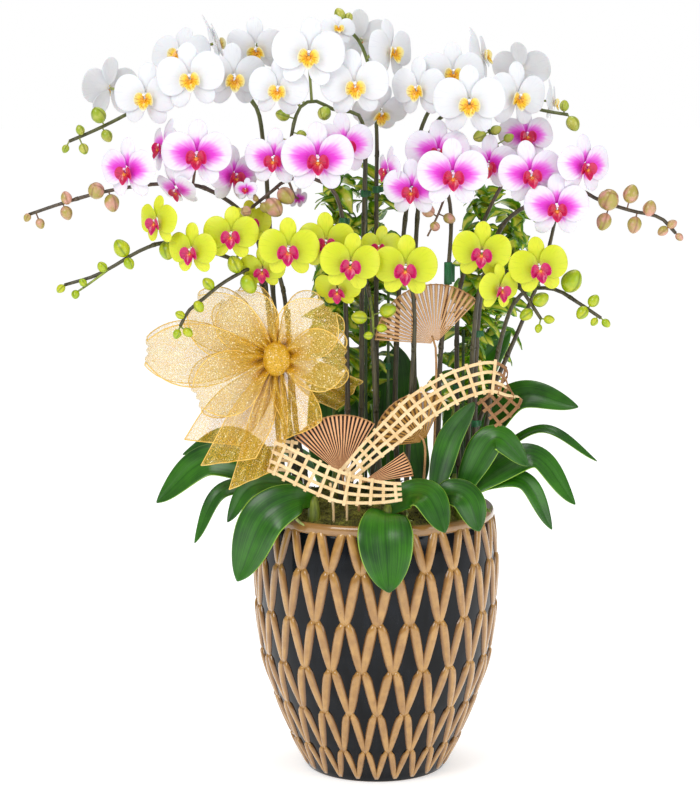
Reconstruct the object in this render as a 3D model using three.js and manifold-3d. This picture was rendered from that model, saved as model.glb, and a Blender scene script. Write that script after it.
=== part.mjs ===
// Moth orchid arrangement in a glazed ceramic pot. Millimetres, +Z up, the front faces -Y.
// The origin is the centre of the pot's flat base.
import * as THREE from 'three';
import { mergeVertices } from 'three/addons/utils/BufferGeometryUtils.js';
import Module from 'manifold-3d';

const wasm = await Module();
wasm.setup();

// Pot
const POT_HEIGHT = 366;
const POT_PROFILE = [
  [0, 98], [33, 115], [85, 137], [150, 160], [215, 168], [285, 171], [335, 167], [POT_HEIGHT, 161],
];
const POT_COLUMNS = 24;
const POT_NODE_HEIGHTS = [4, 50, 108, 171, 237, 306, 361];
const POT_RELIEF = 4.5;
const POT_WINDOW = 0.7;
const POT_WALL = 11;
const POT_FLOOR = 12;
const MEDIUM_TOP = 335;
const POT_INNER_HEIGHTS = [POT_FLOOR, 100, MEDIUM_TOP, POT_HEIGHT];
const FOOT_CHAMFER = 3;

// Fill of the pot
const SEAT_GAP = 0.3;
const WALL_GAP = 0.8;
const MOSS_RADIUS = 147.5;
const MOSS_EDGE = 350;
const MOSS_CREST = 381;
const MOSS_LUMP = 3;
const MOSS_RINGS = 3;
const MOSS_SEGMENTS = 18;
const HOLE_GAP = 0.4;

// Flowers, as shares of a bloom's width
const LOW_NOTCH = [0, -0.1];
const LOW_SEPAL = [[0.07, -0.33], [0.2, -0.46], [0.28, -0.28]];
const SIDE_NOTCH = [0.14, -0.12];
const PETAL = [[0.4, -0.18], [0.5, 0.05], [0.36, 0.27]];
const TOP_NOTCH = [0.09, 0.16];
const TOP_SEPAL = [[0.14, 0.33], [0, 0.5], [-0.14, 0.33]];
const PETAL_THICK = 1;
const PETAL_BEND = 0.03;
const SEPAL_BEND = 0.11;
const LIP_TIP = [0, -0.09, 0.11];
const HUB_BACK = [0, 0, -0.1];
const STALK_RADIUS = 1.8;
const STALK_SETBACK = 16;
const SPIKE_RADIUS = 4;
const SPIKE_TIP_RADIUS = 2;
const SPIKE_SIDES = 3;
const SPIKE_STEP = 70;
const AXIS_SHARES = [0.2, 0.45, 0.7, 0.95];

// Leaves
const LEAF_THICK = 2.4;
const LEAF_STEPS = 5;
const CROWN_RADIUS = 9;
const CROWN_TOP = 394;
const CROWN_SIDES = 5;

const COLOURS = {
  tan: 0xb98a55,
  bark: 0x4a3a2a,
  moss: 0x5a5520,
  white: 0xf4f2f6,
  pink: 0xd94fc0,
  yellow: 0xd6e020,
  leaf: 0x2f7220,
  filler: 0x86a52c,
  ribbon: 0xd8a63c,
  fan: 0xb98552,
  bamboo: 0xf0d2a0,
  stake: 0x2c3326,
};

const vector = (place) => new THREE.Vector3(...place.slice(0, 3));
const curveThrough = (places) => new THREE.CatmullRomCurve3(places.map(vector));
const radians = THREE.MathUtils.degToRad;

// A repeatable random draw.
function seeded(seed) {
  let state = seed;
  return () => {
    state = (state * 16807) % 2147483647;
    return state / 2147483647;
  };
}

// Solids
function solid(geometry) {
  const bare = geometry.clone();
  for (const name of Object.keys(bare.attributes)) {
    if (name !== 'position') bare.deleteAttribute(name);
  }
  const merged = mergeVertices(bare, 1e-4);
  const shape = { numProp: 3, vertProperties: merged.attributes.position.array };
  const triVerts = new Uint32Array(merged.index.array);
  const made = new wasm.Manifold(new wasm.Mesh({ ...shape, triVerts }));
  if (made.volume() > 0) return made;
  return new wasm.Manifold(new wasm.Mesh({ ...shape, triVerts: triVerts.reverse() }));
}

const fuse = (solids) => solids.reduce((whole, piece) => whole.add(piece));

function geometryOf(made) {
  const { vertProperties, triVerts, numProp } = made.getMesh();
  const places = new Float32Array((vertProperties.length / numProp) * 3);
  for (let i = 0; i < places.length / 3; i += 1) {
    places.set(vertProperties.subarray(i * numProp, i * numProp + 3), i * 3);
  }
  const geometry = new THREE.BufferGeometry();
  geometry.setAttribute('position', new THREE.BufferAttribute(places, 3));
  geometry.setIndex(new THREE.BufferAttribute(new Uint32Array(triVerts), 1));
  geometry.computeVertexNormals();
  return geometry;
}

// A closed blade: a flat outline's triangles, alike on both faces, joined round the rim.
function blade(flat, place) {
  const outline = flat.getAttribute('position');
  const count = outline.count;
  const places = [];
  for (const face of [1, -1]) {
    for (let i = 0; i < count; i += 1) {
      places.push(...place(outline.getX(i), outline.getY(i), face).toArray());
    }
  }
  const index = [];
  const rim = new Map();
  for (let i = 0; i < flat.index.count; i += 3) {
    const corners = [0, 1, 2].map((k) => flat.index.getX(i + k));
    index.push(...corners);
    index.push(...corners.map((corner) => count + corner).reverse());
    corners.forEach((from, k) => {
      const to = corners[(k + 1) % 3];
      if (!rim.delete(`${to} ${from}`)) rim.set(`${from} ${to}`, [from, to]);
    });
  }
  for (const [from, to] of rim.values()) {
    index.push(from, count + from, count + to, from, count + to, to);
  }
  const geometry = new THREE.BufferGeometry();
  geometry.setAttribute('position', new THREE.Float32BufferAttribute(places, 3));
  geometry.setIndex(index);
  return geometry;
}

// A blade that follows a curve. width, lift and side are functions of the share of its length.
function strip({ path, width, thick, side, steps, across = 1, lift = () => 0 }) {
  const curve = curveThrough(path);
  const flat = new THREE.PlaneGeometry(1, 1, steps, across);
  return blade(flat, (x, y, face) => {
    const share = THREE.MathUtils.clamp(x + 0.5, 0, 1);
    const along = curve.getTangentAt(share);
    const wide = side(share).clone().addScaledVector(along, -side(share).dot(along)).normalize();
    const out = new THREE.Vector3().crossVectors(along, wide);
    return curve.getPointAt(share)
      .addScaledVector(wide, y * width(share))
      .addScaledVector(out, face * thick / 2 + lift(share, 2 * y));
  });
}

// A round stem along a curve, thinner towards its tip.
function stem(path, radius, tipRadius, sides, steps) {
  const curve = curveThrough(path);
  const section = new THREE.Shape();
  for (let i = 0; i < sides; i += 1) {
    const turn = (2 * Math.PI * i) / sides;
    section[i ? 'lineTo' : 'moveTo'](radius * Math.cos(turn), radius * Math.sin(turn));
  }
  const geometry = new THREE.ExtrudeGeometry(section, { steps, extrudePath: curve, bevelEnabled: false });
  const centres = curve.getSpacedPoints(steps);
  const places = geometry.getAttribute('position');
  const place = new THREE.Vector3();
  for (let i = 0; i < places.count; i += 1) {
    place.fromBufferAttribute(places, i);
    let ring = 0;
    for (let k = 1; k <= steps; k += 1) {
      if (place.distanceTo(centres[k]) < place.distanceTo(centres[ring])) ring = k;
    }
    const scale = THREE.MathUtils.lerp(1, tipRadius / radius, ring / steps);
    place.sub(centres[ring]).multiplyScalar(scale).add(centres[ring]);
    places.setXYZ(i, place.x, place.y, place.z);
  }
  return geometry;
}

// A square hole through the moss that clears a round stem.
function stemHole([x, y], radius) {
  const reach = (radius + HOLE_GAP) * Math.SQRT2;
  const drill = new THREE.CylinderGeometry(reach, reach, 2 * (MOSS_CREST - MEDIUM_TOP), 4);
  return solid(drill.rotateX(Math.PI / 2).translate(x, y, (MOSS_CREST + MEDIUM_TOP) / 2));
}

// Pot
function potRadius(height) {
  const above = Math.max(1, POT_PROFILE.findIndex(([z]) => z >= height));
  const [lowZ, lowR] = POT_PROFILE[above - 1];
  const [highZ, highR] = POT_PROFILE[above];
  return THREE.MathUtils.lerp(lowR, highR, (height - lowZ) / (highZ - lowZ));
}

const innerRadius = (height) => potRadius(height) - POT_WALL;

// Step 0 is at the front, and each column of the lattice is two steps.
function potPoint(step, height, radius) {
  const turn = (Math.PI * step) / POT_COLUMNS;
  return new THREE.Vector3(radius * Math.sin(turn), -radius * Math.cos(turn), height);
}

function pot() {
  const places = [];
  const face = (...corners) => {
    for (let i = 2; i < corners.length; i += 1) {
      for (const corner of [corners[0], corners[i - 1], corners[i]]) places.push(...corner.toArray());
    }
  };
  const top = POT_NODE_HEIGHTS.length - 1;
  // A window is a recess with a ridge along each side: corners are [step, height] pairs.
  const window = (corners) => {
    const middle = [0, 1].map((k) => corners.reduce((sum, c) => sum + c[k], 0) / corners.length);
    const crest = corners.map(([step, z]) => potPoint(step, z, potRadius(z)));
    const sunk = corners.map((corner) => {
      const [step, z] = corner.map((value, k) => THREE.MathUtils.lerp(middle[k], value, POT_WINDOW));
      return potPoint(step, z, potRadius(z) - POT_RELIEF);
    });
    corners.forEach((_, k) => {
      const next = (k + 1) % corners.length;
      face(crest[k], crest[next], sunk[next], sunk[k]);
    });
    face(...sunk);
  };
  for (let step = 0; step < 2 * POT_COLUMNS; step += 1) {
    for (let row = 0; row <= top; row += 1) {
      if ((step + row) % 2 === 0) continue;
      const corners = [[step - 1, POT_NODE_HEIGHTS[row]]];
      if (row > 0) corners.push([step, POT_NODE_HEIGHTS[row - 1]]);
      corners.push([step + 1, POT_NODE_HEIGHTS[row]]);
      if (row < top) corners.push([step, POT_NODE_HEIGHTS[row + 1]]);
      window(corners);
    }
  }
  const foot = POT_NODE_HEIGHTS[0];
  const lip = POT_NODE_HEIGHTS[top];
  for (let step = 0; step < 2 * POT_COLUMNS; step += 2) {
    const band = (lowZ, lowR, highZ, highR) => face(
      potPoint(step, lowZ, lowR),
      potPoint(step + 2, lowZ, lowR),
      potPoint(step + 2, highZ, highR),
      potPoint(step, highZ, highR),
    );
    const baseRadius = potRadius(0) - FOOT_CHAMFER;
    face(potPoint(0, 0, 0), potPoint(step + 2, 0, baseRadius), potPoint(step, 0, baseRadius));
    band(0, baseRadius, foot, potRadius(foot));
    band(lip, potRadius(lip), POT_HEIGHT, potRadius(POT_HEIGHT) - 1);
    band(POT_HEIGHT, potRadius(POT_HEIGHT) - 1, POT_HEIGHT, innerRadius(POT_HEIGHT));
    for (let i = POT_INNER_HEIGHTS.length - 1; i > 0; i -= 1) {
      const [high, low] = [POT_INNER_HEIGHTS[i], POT_INNER_HEIGHTS[i - 1]];
      band(high, innerRadius(high), low, innerRadius(low));
    }
    const floorRadius = innerRadius(POT_FLOOR);
    face(
      potPoint(0, POT_FLOOR, 0),
      potPoint(step, POT_FLOOR, floorRadius),
      potPoint(step + 2, POT_FLOOR, floorRadius),
    );
  }
  const geometry = new THREE.BufferGeometry();
  geometry.setAttribute('position', new THREE.Float32BufferAttribute(places, 3));
  return solid(geometry);
}

function lathe(profile, segments) {
  const points = profile.map(([radius, height]) => new THREE.Vector2(radius, height));
  return new THREE.LatheGeometry(points, segments).rotateX(Math.PI / 2);
}

function growingMedium() {
  const floor = POT_FLOOR + SEAT_GAP;
  const wall = [floor, ...POT_INNER_HEIGHTS.slice(1, -1), MEDIUM_TOP];
  const sides = wall.map((height) => [innerRadius(Math.max(height, POT_FLOOR)) - WALL_GAP - 1, height]);
  return solid(lathe([[0, floor], ...sides, [0, MEDIUM_TOP]], POT_COLUMNS));
}

function mossHeight(radius) {
  const share = radius / MOSS_RADIUS;
  return MOSS_EDGE + (MOSS_CREST - MOSS_EDGE) * Math.pow(1 - Math.pow(share, 4), 0.6);
}

function mossCover(stems) {
  const low = MEDIUM_TOP + SEAT_GAP;
  const profile = [[0, low], [MOSS_RADIUS, low]];
  for (let ring = MOSS_RINGS; ring >= 0; ring -= 1) {
    const radius = (MOSS_RADIUS * ring) / MOSS_RINGS;
    profile.push([radius, mossHeight(radius)]);
  }
  const geometry = lathe(profile, MOSS_SEGMENTS);
  const places = geometry.getAttribute('position');
  for (let i = 0; i < places.count; i += 1) {
    const [x, y, z] = [places.getX(i), places.getY(i), places.getZ(i)];
    const radius = Math.hypot(x, y);
    if (z < MOSS_EDGE - 1 || radius > MOSS_RADIUS - 1) continue;
    const turn = Math.atan2(y, x);
    const lump = Math.sin(5 * turn + radius / 14) * Math.cos(9 * turn - radius / 21);
    places.setZ(i, z + MOSS_LUMP * lump * Math.min(1, radius / 40));
  }
  return stems.reduce((moss, [place, radius]) => moss.subtract(stemHole(place, radius)), solid(geometry));
}

// A bloom's outline, counter-clockwise: five notches with a lobe between each and the next.
const mirrored = (points) => points.map(([x, y]) => [-x, y]).reverse();
const BLOOM_LOBES = [
  [LOW_NOTCH, ...LOW_SEPAL],
  [SIDE_NOTCH, ...PETAL],
  [TOP_NOTCH, ...TOP_SEPAL],
  [...mirrored([TOP_NOTCH]), ...mirrored(PETAL)],
  [...mirrored([SIDE_NOTCH]), ...mirrored(LOW_SEPAL)],
];

// The lobes are fans from their notches, and the hub point in the middle joins the notches.
function bloomOutline() {
  const points = BLOOM_LOBES.flat();
  const hub = points.length;
  const notches = BLOOM_LOBES.map((lobe) => points.indexOf(lobe[0]));
  const index = [];
  BLOOM_LOBES.forEach((lobe, i) => {
    const from = notches[i];
    const to = notches[(i + 1) % notches.length];
    for (let k = 1; k < lobe.length - 1; k += 1) index.push(from, from + k, from + k + 1);
    index.push(from, from + lobe.length - 1, to);
    index.push(hub, from, to);
  });
  const flat = new THREE.BufferGeometry();
  const places = [...points, [0, 0]].flatMap(([x, y]) => [x, y, 0]);
  flat.setAttribute('position', new THREE.Float32BufferAttribute(places, 3));
  flat.setIndex(index);
  return flat;
}

const BLOOM_OUTLINE = bloomOutline();

// Sepals bend back more than the petals. The front is +Z, where the hub is drawn out as the lip.
function corolla(width) {
  return blade(BLOOM_OUTLINE, (x, y, face) => {
    const hub = face > 0 ? LIP_TIP : HUB_BACK;
    if (x === 0 && y === 0) return vector(hub).multiplyScalar(width);
    const sepal = y > 0.3 || y < -0.2;
    const bend = (sepal ? SEPAL_BEND : PETAL_BEND) * 4 * (x * x + y * y);
    return new THREE.Vector3(x * width, y * width, face * PETAL_THICK / 2 - bend * width);
  });
}

const facing = (yaw, pitch, roll) => new THREE.Matrix4()
  .makeRotationZ(radians(yaw))
  .multiply(new THREE.Matrix4().makeRotationX(radians(90 - pitch)))
  .multiply(new THREE.Matrix4().makeRotationZ(radians(-roll)));

function nearest(places, target) {
  return places.reduce((best, place) => (place.distanceTo(target) < best.distanceTo(target) ? place : best));
}

// One bloom [x, y, z, yaw, pitch, roll, width] with its stalk to the nearest place on its spike.
function bloom([x, y, z, yaw, pitch, roll, width], spikePlaces) {
  const turn = facing(yaw, pitch, roll);
  const centre = new THREE.Vector3(x, y, z);
  const front = new THREE.Vector3(0, 0, 1).transformDirection(turn);
  const seat = turn.clone().setPosition(centre);
  const behind = centre.clone().addScaledVector(front, -STALK_SETBACK);
  const start = centre.clone().addScaledVector(front, HUB_BACK[2] * width / 2);
  const path = [start, nearest(spikePlaces, behind)].map((place) => place.toArray());
  const stalk = stem(path, STALK_RADIUS, STALK_RADIUS, 3, 1);
  return [solid(corolla(width).applyMatrix4(seat)), solid(stalk)];
}

// One bud [x, y, z, diameter], drawn out into a short stalk that is sunk in its spike.
function bud([x, y, z, diameter], spikePlaces) {
  const centre = new THREE.Vector3(x, y, z);
  const root = nearest(spikePlaces, centre);
  const away = centre.clone().sub(root);
  const radius = diameter / 2;
  const tail = -Math.max(away.length(), radius);
  const shape = lathe([[0, tail], [1.1 * radius, 0], [0, 1.2 * radius]], 4);
  const turn = new THREE.Quaternion().setFromUnitVectors(new THREE.Vector3(0, 0, 1), away.normalize());
  return solid(shape.applyQuaternion(turn).translate(x, y, z));
}

// Places along a stem's axis, several between each of its steps, none at its very end.
function axisPlaces(path, steps) {
  const knots = curveThrough(path).getSpacedPoints(steps);
  return knots.slice(1).flatMap((knot, i) => AXIS_SHARES.map((share) => knots[i].clone().lerp(knot, share)));
}

function spray({ spike, twigs = [], blooms, buds }) {
  const [x, y] = spike[0];
  const path = [[x, y, MEDIUM_TOP + SEAT_GAP], [x, y, 372], ...spike];
  const steps = Math.round(curveThrough(path).getLength() / SPIKE_STEP);
  const pieces = [solid(stem(path, SPIKE_RADIUS, SPIKE_TIP_RADIUS, SPIKE_SIDES, steps))];
  const places = axisPlaces(path, steps);
  for (const twig of twigs) {
    pieces.push(solid(stem(twig, 2, 1.5, 3, twig.length - 1)));
    places.push(...axisPlaces(twig, twig.length - 1));
  }
  for (const each of blooms) pieces.push(...bloom(each, places));
  for (const each of buds) pieces.push(bud(each, places));
  return fuse(pieces);
}

// Spikes as [x, y, z], blooms as [x, y, z, yaw, pitch, roll, width], buds as [x, y, z, diameter].
const SPRAYS = {
  white_spray_left: {
    colour: 'white',
    spike: [
      [-105, 10, 400], [-125, 5, 510], [-140, 0, 650], [-146, -5, 765], [-152, -8, 855], [-165, -10, 915],
      [-205, -15, 938], [-255, -18, 935], [-305, -22, 918],
      [-335, -30, 900], [-375, -35, 880], [-410, -40, 865],
    ],
    blooms: [
      [-305, -60, 925, -12, 0, 0, 90],
      [-245, -78, 950, -5, 2, -8, 94],
      [-190, -48, 950, 12, -5, 0, 90],
      [-360, 10, 935, -150, 5, 0, 86],
      [-265, 10, 980, -20, 25, 0, 88],
      [-218, 14, 995, 100, 20, 0, 84],
    ],
    buds: [
      [-370, -45, 900, 20], [-395, -40, 880, 12], [-360, -35, 872, 15],
      [-390, -45, 855, 13], [-415, -40, 855, 10],
    ],
  },
  white_spray_centre: {
    colour: 'white',
    spike: [
      [-35, -8, 400], [-22, -12, 475], [-20, -18, 650], [-17, -28, 785], [-17, -35, 875], [-25, -40, 900],
      [-60, -45, 908], [-80, -48, 918], [-97, -50, 915], [-107, -55, 900], [-115, -60, 865],
    ],
    blooms: [
      [-130, -78, 935, -6, 0, 6, 82],
      [-90, -92, 980, 3, 4, 4, 98],
      [-160, -25, 990, -10, -30, 0, 84],
      [-30, -76, 940, 4, 0, -4, 94],
    ],
    buds: [
      [-70, -62, 902, 18], [-125, -58, 900, 16], [-100, -60, 875, 11], [-130, -60, 870, 9],
      [-135, -62, 860, 8], [-115, -62, 855, 7],
    ],
  },
  white_spray_back: {
    colour: 'white',
    spike: [
      [-5, 30, 400], [0, 30, 470], [0, 26, 645], [0, 22, 785], [0, 20, 880], [-6, 24, 945],
      [-22, 28, 995], [-42, 24, 1018],
    ],
    blooms: [
      [-20, 66, 1000, 170, 10, 0, 88],
      [-52, 10, 1014, 10, 30, 0, 50],
      [18, -8, 985, 45, 5, 0, 86],
      [5, -12, 905, 15, -35, 0, 80],
    ],
    buds: [[-50, 30, 1034, 15], [-38, 34, 1030, 12]],
  },
  white_spray_mid_right: {
    colour: 'white',
    spike: [
      [30, 5, 400], [26, 5, 485], [30, 0, 650], [40, -5, 770], [55, -10, 865], [70, -14, 905],
      [90, -16, 930], [122, -22, 925], [142, -36, 892], [160, -46, 858],
    ],
    blooms: [
      [55, -52, 935, -30, 0, 0, 84],
      [100, -40, 955, 5, 12, 0, 88],
      [140, 14, 980, 70, 15, 0, 80],
    ],
    buds: [
      [136, -48, 872, 16], [158, -40, 880, 13], [175, -46, 870, 12], [150, -50, 862, 8],
      [170, -50, 852, 9], [160, -50, 846, 8],
    ],
  },
  white_spray_right: {
    colour: 'white',
    spike: [
      [60, 45, 400], [55, 40, 480], [52, 34, 645], [58, 26, 785], [68, 18, 865], [92, 10, 900],
      [140, 6, 915], [185, 2, 915], [225, -12, 905], [255, -24, 900],
    ],
    blooms: [
      [120, -86, 918, -2, 0, 0, 98],
      [185, -46, 925, 28, 0, 4, 92],
      [198, 42, 960, 160, 20, 0, 84],
      [236, 8, 918, 75, 0, 0, 60],
    ],
    buds: [[250, -26, 912, 13], [262, -26, 888, 18]],
  },
  pink_spray_left: {
    colour: 'pink',
    spike: [
      [-110, -20, 400], [-133, -25, 515], [-148, -35, 655],
      [-160, -45, 735], [-180, -58, 772], [-215, -68, 798],
      [-240, -72, 808], [-290, -75, 810], [-360, -78, 800], [-415, -80, 785], [-460, -80, 770],
    ],
    blooms: [
      [-325, -112, 830, -28, 0, 0, 86],
      [-235, -118, 850, 0, 5, 0, 94],
      [-282, -62, 858, -85, 10, 0, 80],
      [-262, -100, 806, -40, -35, 0, 66],
      [-190, -78, 822, 35, 0, 0, 80],
    ],
    buds: [
      [-370, -85, 802, 22], [-350, -80, 785, 20], [-410, -80, 792, 15], [-410, -80, 772, 16],
      [-445, -80, 758, 12], [-462, -80, 766, 10],
    ],
  },
  pink_spray_mid_left: {
    colour: 'pink',
    spike: [
      [-48, -36, 400], [-40, -40, 480], [-42, -46, 655], [-46, -58, 765], [-60, -68, 803], [-90, -74, 818],
      [-120, -80, 815], [-140, -85, 800], [-165, -90, 780],
    ],
    blooms: [
      [-135, -108, 845, -10, 0, 0, 80],
      [-78, -124, 845, 3, 3, 0, 98],
      [-44, -84, 862, 20, 5, 0, 86],
      [-172, -98, 804, -15, 10, 0, 32],
      [-105, -60, 790, 150, -20, 0, 30],
    ],
    buds: [
      [-120, -92, 795, 22], [-136, -96, 780, 24], [-147, -96, 780, 14],
      [-160, -94, 792, 8], [-172, -112, 776, 14],
    ],
  },
  pink_spray_mid_right: {
    colour: 'pink',
    spike: [
      [80, -30, 400], [84, -30, 480], [86, -40, 575], [94, -50, 675], [98, -58, 770], [90, -68, 802],
      [65, -74, 815], [32, -76, 820],
    ],
    twigs: [[[92, -66, 800], [80, -84, 770], [66, -90, 742]]],
    blooms: [
      [15, -84, 828, -65, 0, 0, 66],
      [45, -108, 805, -14, -4, 0, 80],
      [80, -72, 852, 5, 8, 0, 88],
      [97, -126, 825, 3, 0, 0, 96],
    ],
    buds: [[66, -92, 776, 17], [95, -84, 765, 14], [76, -92, 755, 13]],
  },
  pink_spray_right_back: {
    colour: 'pink',
    spike: [
      [115, 10, 400], [112, 8, 470], [112, -14, 660], [122, -20, 700], [140, -32, 750], [160, -42, 795],
      [180, -48, 825], [215, -44, 838],
    ],
    blooms: [
      [200, -98, 825, 6, 0, -8, 88],
      [148, -60, 836, -10, -8, 0, 78],
      [200, -20, 872, 10, 18, 0, 78],
    ],
    buds: [],
  },
  pink_spray_right: {
    colour: 'pink',
    spike: [
      [134, -20, 400], [134, -20, 475], [136, -30, 610], [146, -42, 695], [170, -56, 758], [205, -64, 785],
      [230, -66, 800], [260, -68, 805], [295, -70, 788], [335, -75, 775], [375, -75, 765], [395, -75, 745],
    ],
    blooms: [[270, -100, 835, 30, 0, 0, 84]],
    buds: [
      [305, -80, 790, 28], [335, -75, 797, 21], [300, -72, 760, 20], [340, -76, 756, 19],
      [360, -75, 778, 18], [390, -75, 757, 12], [378, -75, 748, 13], [400, -75, 740, 10],
    ],
  },
  pink_spray_far_right: {
    colour: 'pink',
    spike: [
      [128, 36, 400], [140, 24, 470], [165, 0, 540], [196, -25, 620], [222, -50, 695], [232, -62, 740],
      [236, -72, 765],
    ],
    blooms: [[234, -109, 782, 0, 0, 0, 88]],
    buds: [],
  },
  yellow_spray_left: {
    colour: 'yellow',
    spike: [
      [-125, -50, 400], [-134, -55, 490], [-140, -60, 610],
      [-152, -74, 675], [-175, -90, 703], [-215, -100, 722],
      [-250, -105, 733], [-280, -106, 735], [-310, -110, 725],
      [-350, -114, 702], [-370, -115, 692], [-410, -115, 680],
    ],
    twigs: [[[-350, -114, 702], [-380, -120, 680], [-395, -120, 670]]],
    blooms: [
      [-285, -136, 765, -40, 0, 0, 68],
      [-240, -144, 728, -25, 0, 0, 72],
      [-190, -138, 748, -3, 3, 0, 74],
      [-168, -74, 760, 12, 8, 0, 60],
    ],
    buds: [
      [-275, -112, 725, 22], [-335, -112, 728, 21], [-325, -115, 708, 14], [-360, -118, 704, 13],
      [-415, -115, 675, 11], [-395, -122, 668, 11], [-385, -122, 684, 10],
    ],
  },
  yellow_spray_low_left: {
    colour: 'yellow',
    spike: [
      [-95, -38, 400], [-108, -42, 475], [-118, -52, 600],
      [-126, -76, 675], [-140, -94, 710], [-172, -120, 700],
      [-205, -138, 682], [-225, -148, 666], [-245, -154, 650], [-256, -156, 630],
    ],
    blooms: [
      [-115, -150, 730, -4, 0, 0, 82],
      [-150, -120, 702, -10, -20, 0, 62],
    ],
    buds: [
      [-186, -126, 708, 20], [-168, -124, 682, 22], [-220, -142, 684, 15], [-232, -150, 655, 14],
      [-256, -156, 645, 11], [-260, -158, 620, 11], [-246, -156, 622, 12],
    ],
  },
  yellow_spray_mid_left: {
    colour: 'yellow',
    spike: [
      [5, -55, 400], [0, -56, 480], [-5, -60, 590], [-10, -70, 660], [-20, -84, 695], [-40, -94, 713],
      [-65, -100, 720],
    ],
    twigs: [[[-10, -70, 660], [-6, -94, 636], [-5, -100, 612]]],
    blooms: [
      [-67, -134, 738, 0, 3, 0, 78],
      [-36, -156, 712, 5, 0, 6, 80],
      [-52, -118, 676, -12, -25, 0, 64],
    ],
    buds: [[-24, -102, 636, 18], [14, -98, 645, 19], [6, -104, 622, 12], [-12, -104, 612, 11]],
  },
  yellow_spray_mid_right: {
    colour: 'yellow',
    spike: [[40, -60, 400], [44, -64, 485], [46, -70, 540], [50, -80, 630], [46, -90, 670], [38, -100, 695]],
    blooms: [
      [36, -138, 705, -2, 0, 0, 86],
      [4, -96, 728, -20, 12, 0, 60],
    ],
    buds: [],
  },
  yellow_spray_right: {
    colour: 'yellow',
    spike: [
      [120, -50, 400], [124, -50, 480], [130, -60, 610], [136, -80, 670], [150, -92, 700], [172, -100, 695],
      [195, -105, 665], [215, -108, 635],
    ],
    blooms: [
      [135, -132, 725, 0, 0, 6, 80],
      [158, -136, 678, 35, -5, 0, 66],
    ],
    buds: [[215, -106, 660, 19], [196, -106, 640, 16], [226, -110, 634, 12], [212, -110, 622, 10]],
  },
  yellow_spray_far_right: {
    colour: 'yellow',
    spike: [
      [138, 6, 400], [150, -8, 475], [160, -26, 555], [172, -50, 620], [184, -74, 655], [202, -88, 672],
      [235, -94, 672], [265, -99, 655], [295, -100, 635],
    ],
    blooms: [[210, -128, 705, 5, 0, -10, 80]],
    buds: [
      [256, -100, 684, 27], [285, -102, 658, 15], [270, -102, 642, 16],
      [286, -102, 630, 10], [302, -100, 628, 11],
    ],
  },
};

// Leaf rosettes: each leaf is its path from the crown, its width and the way its upper face looks.
const PLANTS = {
  leaves_left: {
    crown: [-126, -14],
    leaves: [
      { path: [[-165, -24, 418], [-232, -32, 436], [-300, -36, 375]], width: 60, face: [-0.2, -0.6, 0.8] },
      { path: [[-150, 8, 425], [-205, 20, 462], [-268, 22, 432]], width: 46, face: [0, -0.4, 0.9] },
      { path: [[-160, -44, 402], [-212, -64, 396], [-246, -72, 326]], width: 26, face: [-0.5, -0.8, 0.5] },
      { path: [[-150, 42, 420], [-200, 82, 440], [-250, 120, 385]], width: 48, face: [0, 0, 1] },
    ],
  },
  leaves_front_left: {
    crown: [-84, -100],
    leaves: [
      { path: [[-104, -122, 398], [-148, -136, 378], [-186, -128, 286]], width: 62, face: [-0.3, -1, 0.35] },
      { path: [[-122, -94, 412], [-170, -92, 408], [-200, -98, 360]], width: 34, face: [-0.4, -0.8, 0.6] },
    ],
  },
  leaves_front: {
    crown: [14, -122],
    top: 386,
    leaves: [
      { path: [[11, -152, 384], [10, -180, 362], [15, -191, 285]], width: 72, face: [0, -1, 0.6] },
      { path: [[44, -136, 408], [66, -156, 408], [88, -178, 362]], width: 48, face: [0.1, -0.8, 0.7] },
    ],
  },
  leaves_front_right: {
    crown: [76, -108],
    leaves: [
      { path: [[98, -124, 408], [118, -136, 402], [134, -150, 358]], width: 46, face: [0.2, -0.8, 0.6] },
      { path: [[84, -100, 430], [98, -92, 475], [130, -90, 522]], width: 34, face: [-0.2, -1, 0] },
    ],
  },
  leaves_right: {
    crown: [112, -80],
    leaves: [
      { path: [[150, -72, 412], [198, -74, 414], [236, -78, 346]], width: 32, face: [0.2, -0.7, 0.7] },
      { path: [[148, -72, 418], [212, -56, 446], [270, -50, 375]], width: 50, face: [0.1, -0.5, 0.8] },
      { path: [[128, -84, 432], [158, -90, 476], [202, -96, 436]], width: 42, face: [0, -0.8, 0.6] },
    ],
  },
  leaves_far_right: {
    crown: [112, 68],
    leaves: [
      { path: [[158, 60, 420], [232, 36, 468], [305, 6, 425]], width: 22, face: [0, -0.4, 0.9] },
      { path: [[138, 70, 440], [200, 60, 512], [282, 46, 495]], width: 54, face: [-0.3, -0.7, 0.7] },
      { path: [[118, 84, 450], [146, 92, 545], [190, 92, 597]], width: 58, face: [-0.1, -1, 0.1] },
      { path: [[140, 100, 418], [180, 140, 425], [215, 170, 370]], width: 48, face: [0, 0, 1] },
    ],
  },
  leaves_middle: {
    crown: [60, -6],
    leaves: [
      { path: [[58, -8, 420], [54, -8, 450], [62, -6, 490]], width: 34, face: [0, -1, 0.1] },
    ],
  },
  leaves_back: {
    crown: [22, 84],
    leaves: [
      { path: [[28, 82, 420], [30, 84, 500], [30, 92, 576]], width: 70, face: [0, -1, 0.1] },
      { path: [[-2, 92, 430], [-24, 98, 480], [-38, 100, 542]], width: 58, face: [0.1, -1, 0.1] },
      { path: [[20, 118, 412], [14, 170, 420], [10, 215, 350]], width: 60, face: [0, 0.4, 1] },
    ],
  },
  leaves_back_left: {
    crown: [-70, 82],
    leaves: [
      { path: [[-72, 82, 420], [-68, 84, 475], [-78, 88, 542]], width: 56, face: [0, -1, 0.1] },
      { path: [[-100, 110, 415], [-150, 150, 425], [-190, 170, 360]], width: 54, face: [-0.2, 0.2, 1] },
      { path: [[-70, 122, 412], [-70, 165, 410], [-60, 200, 330]], width: 52, face: [0, 0.5, 1] },
    ],
  },
};

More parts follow.
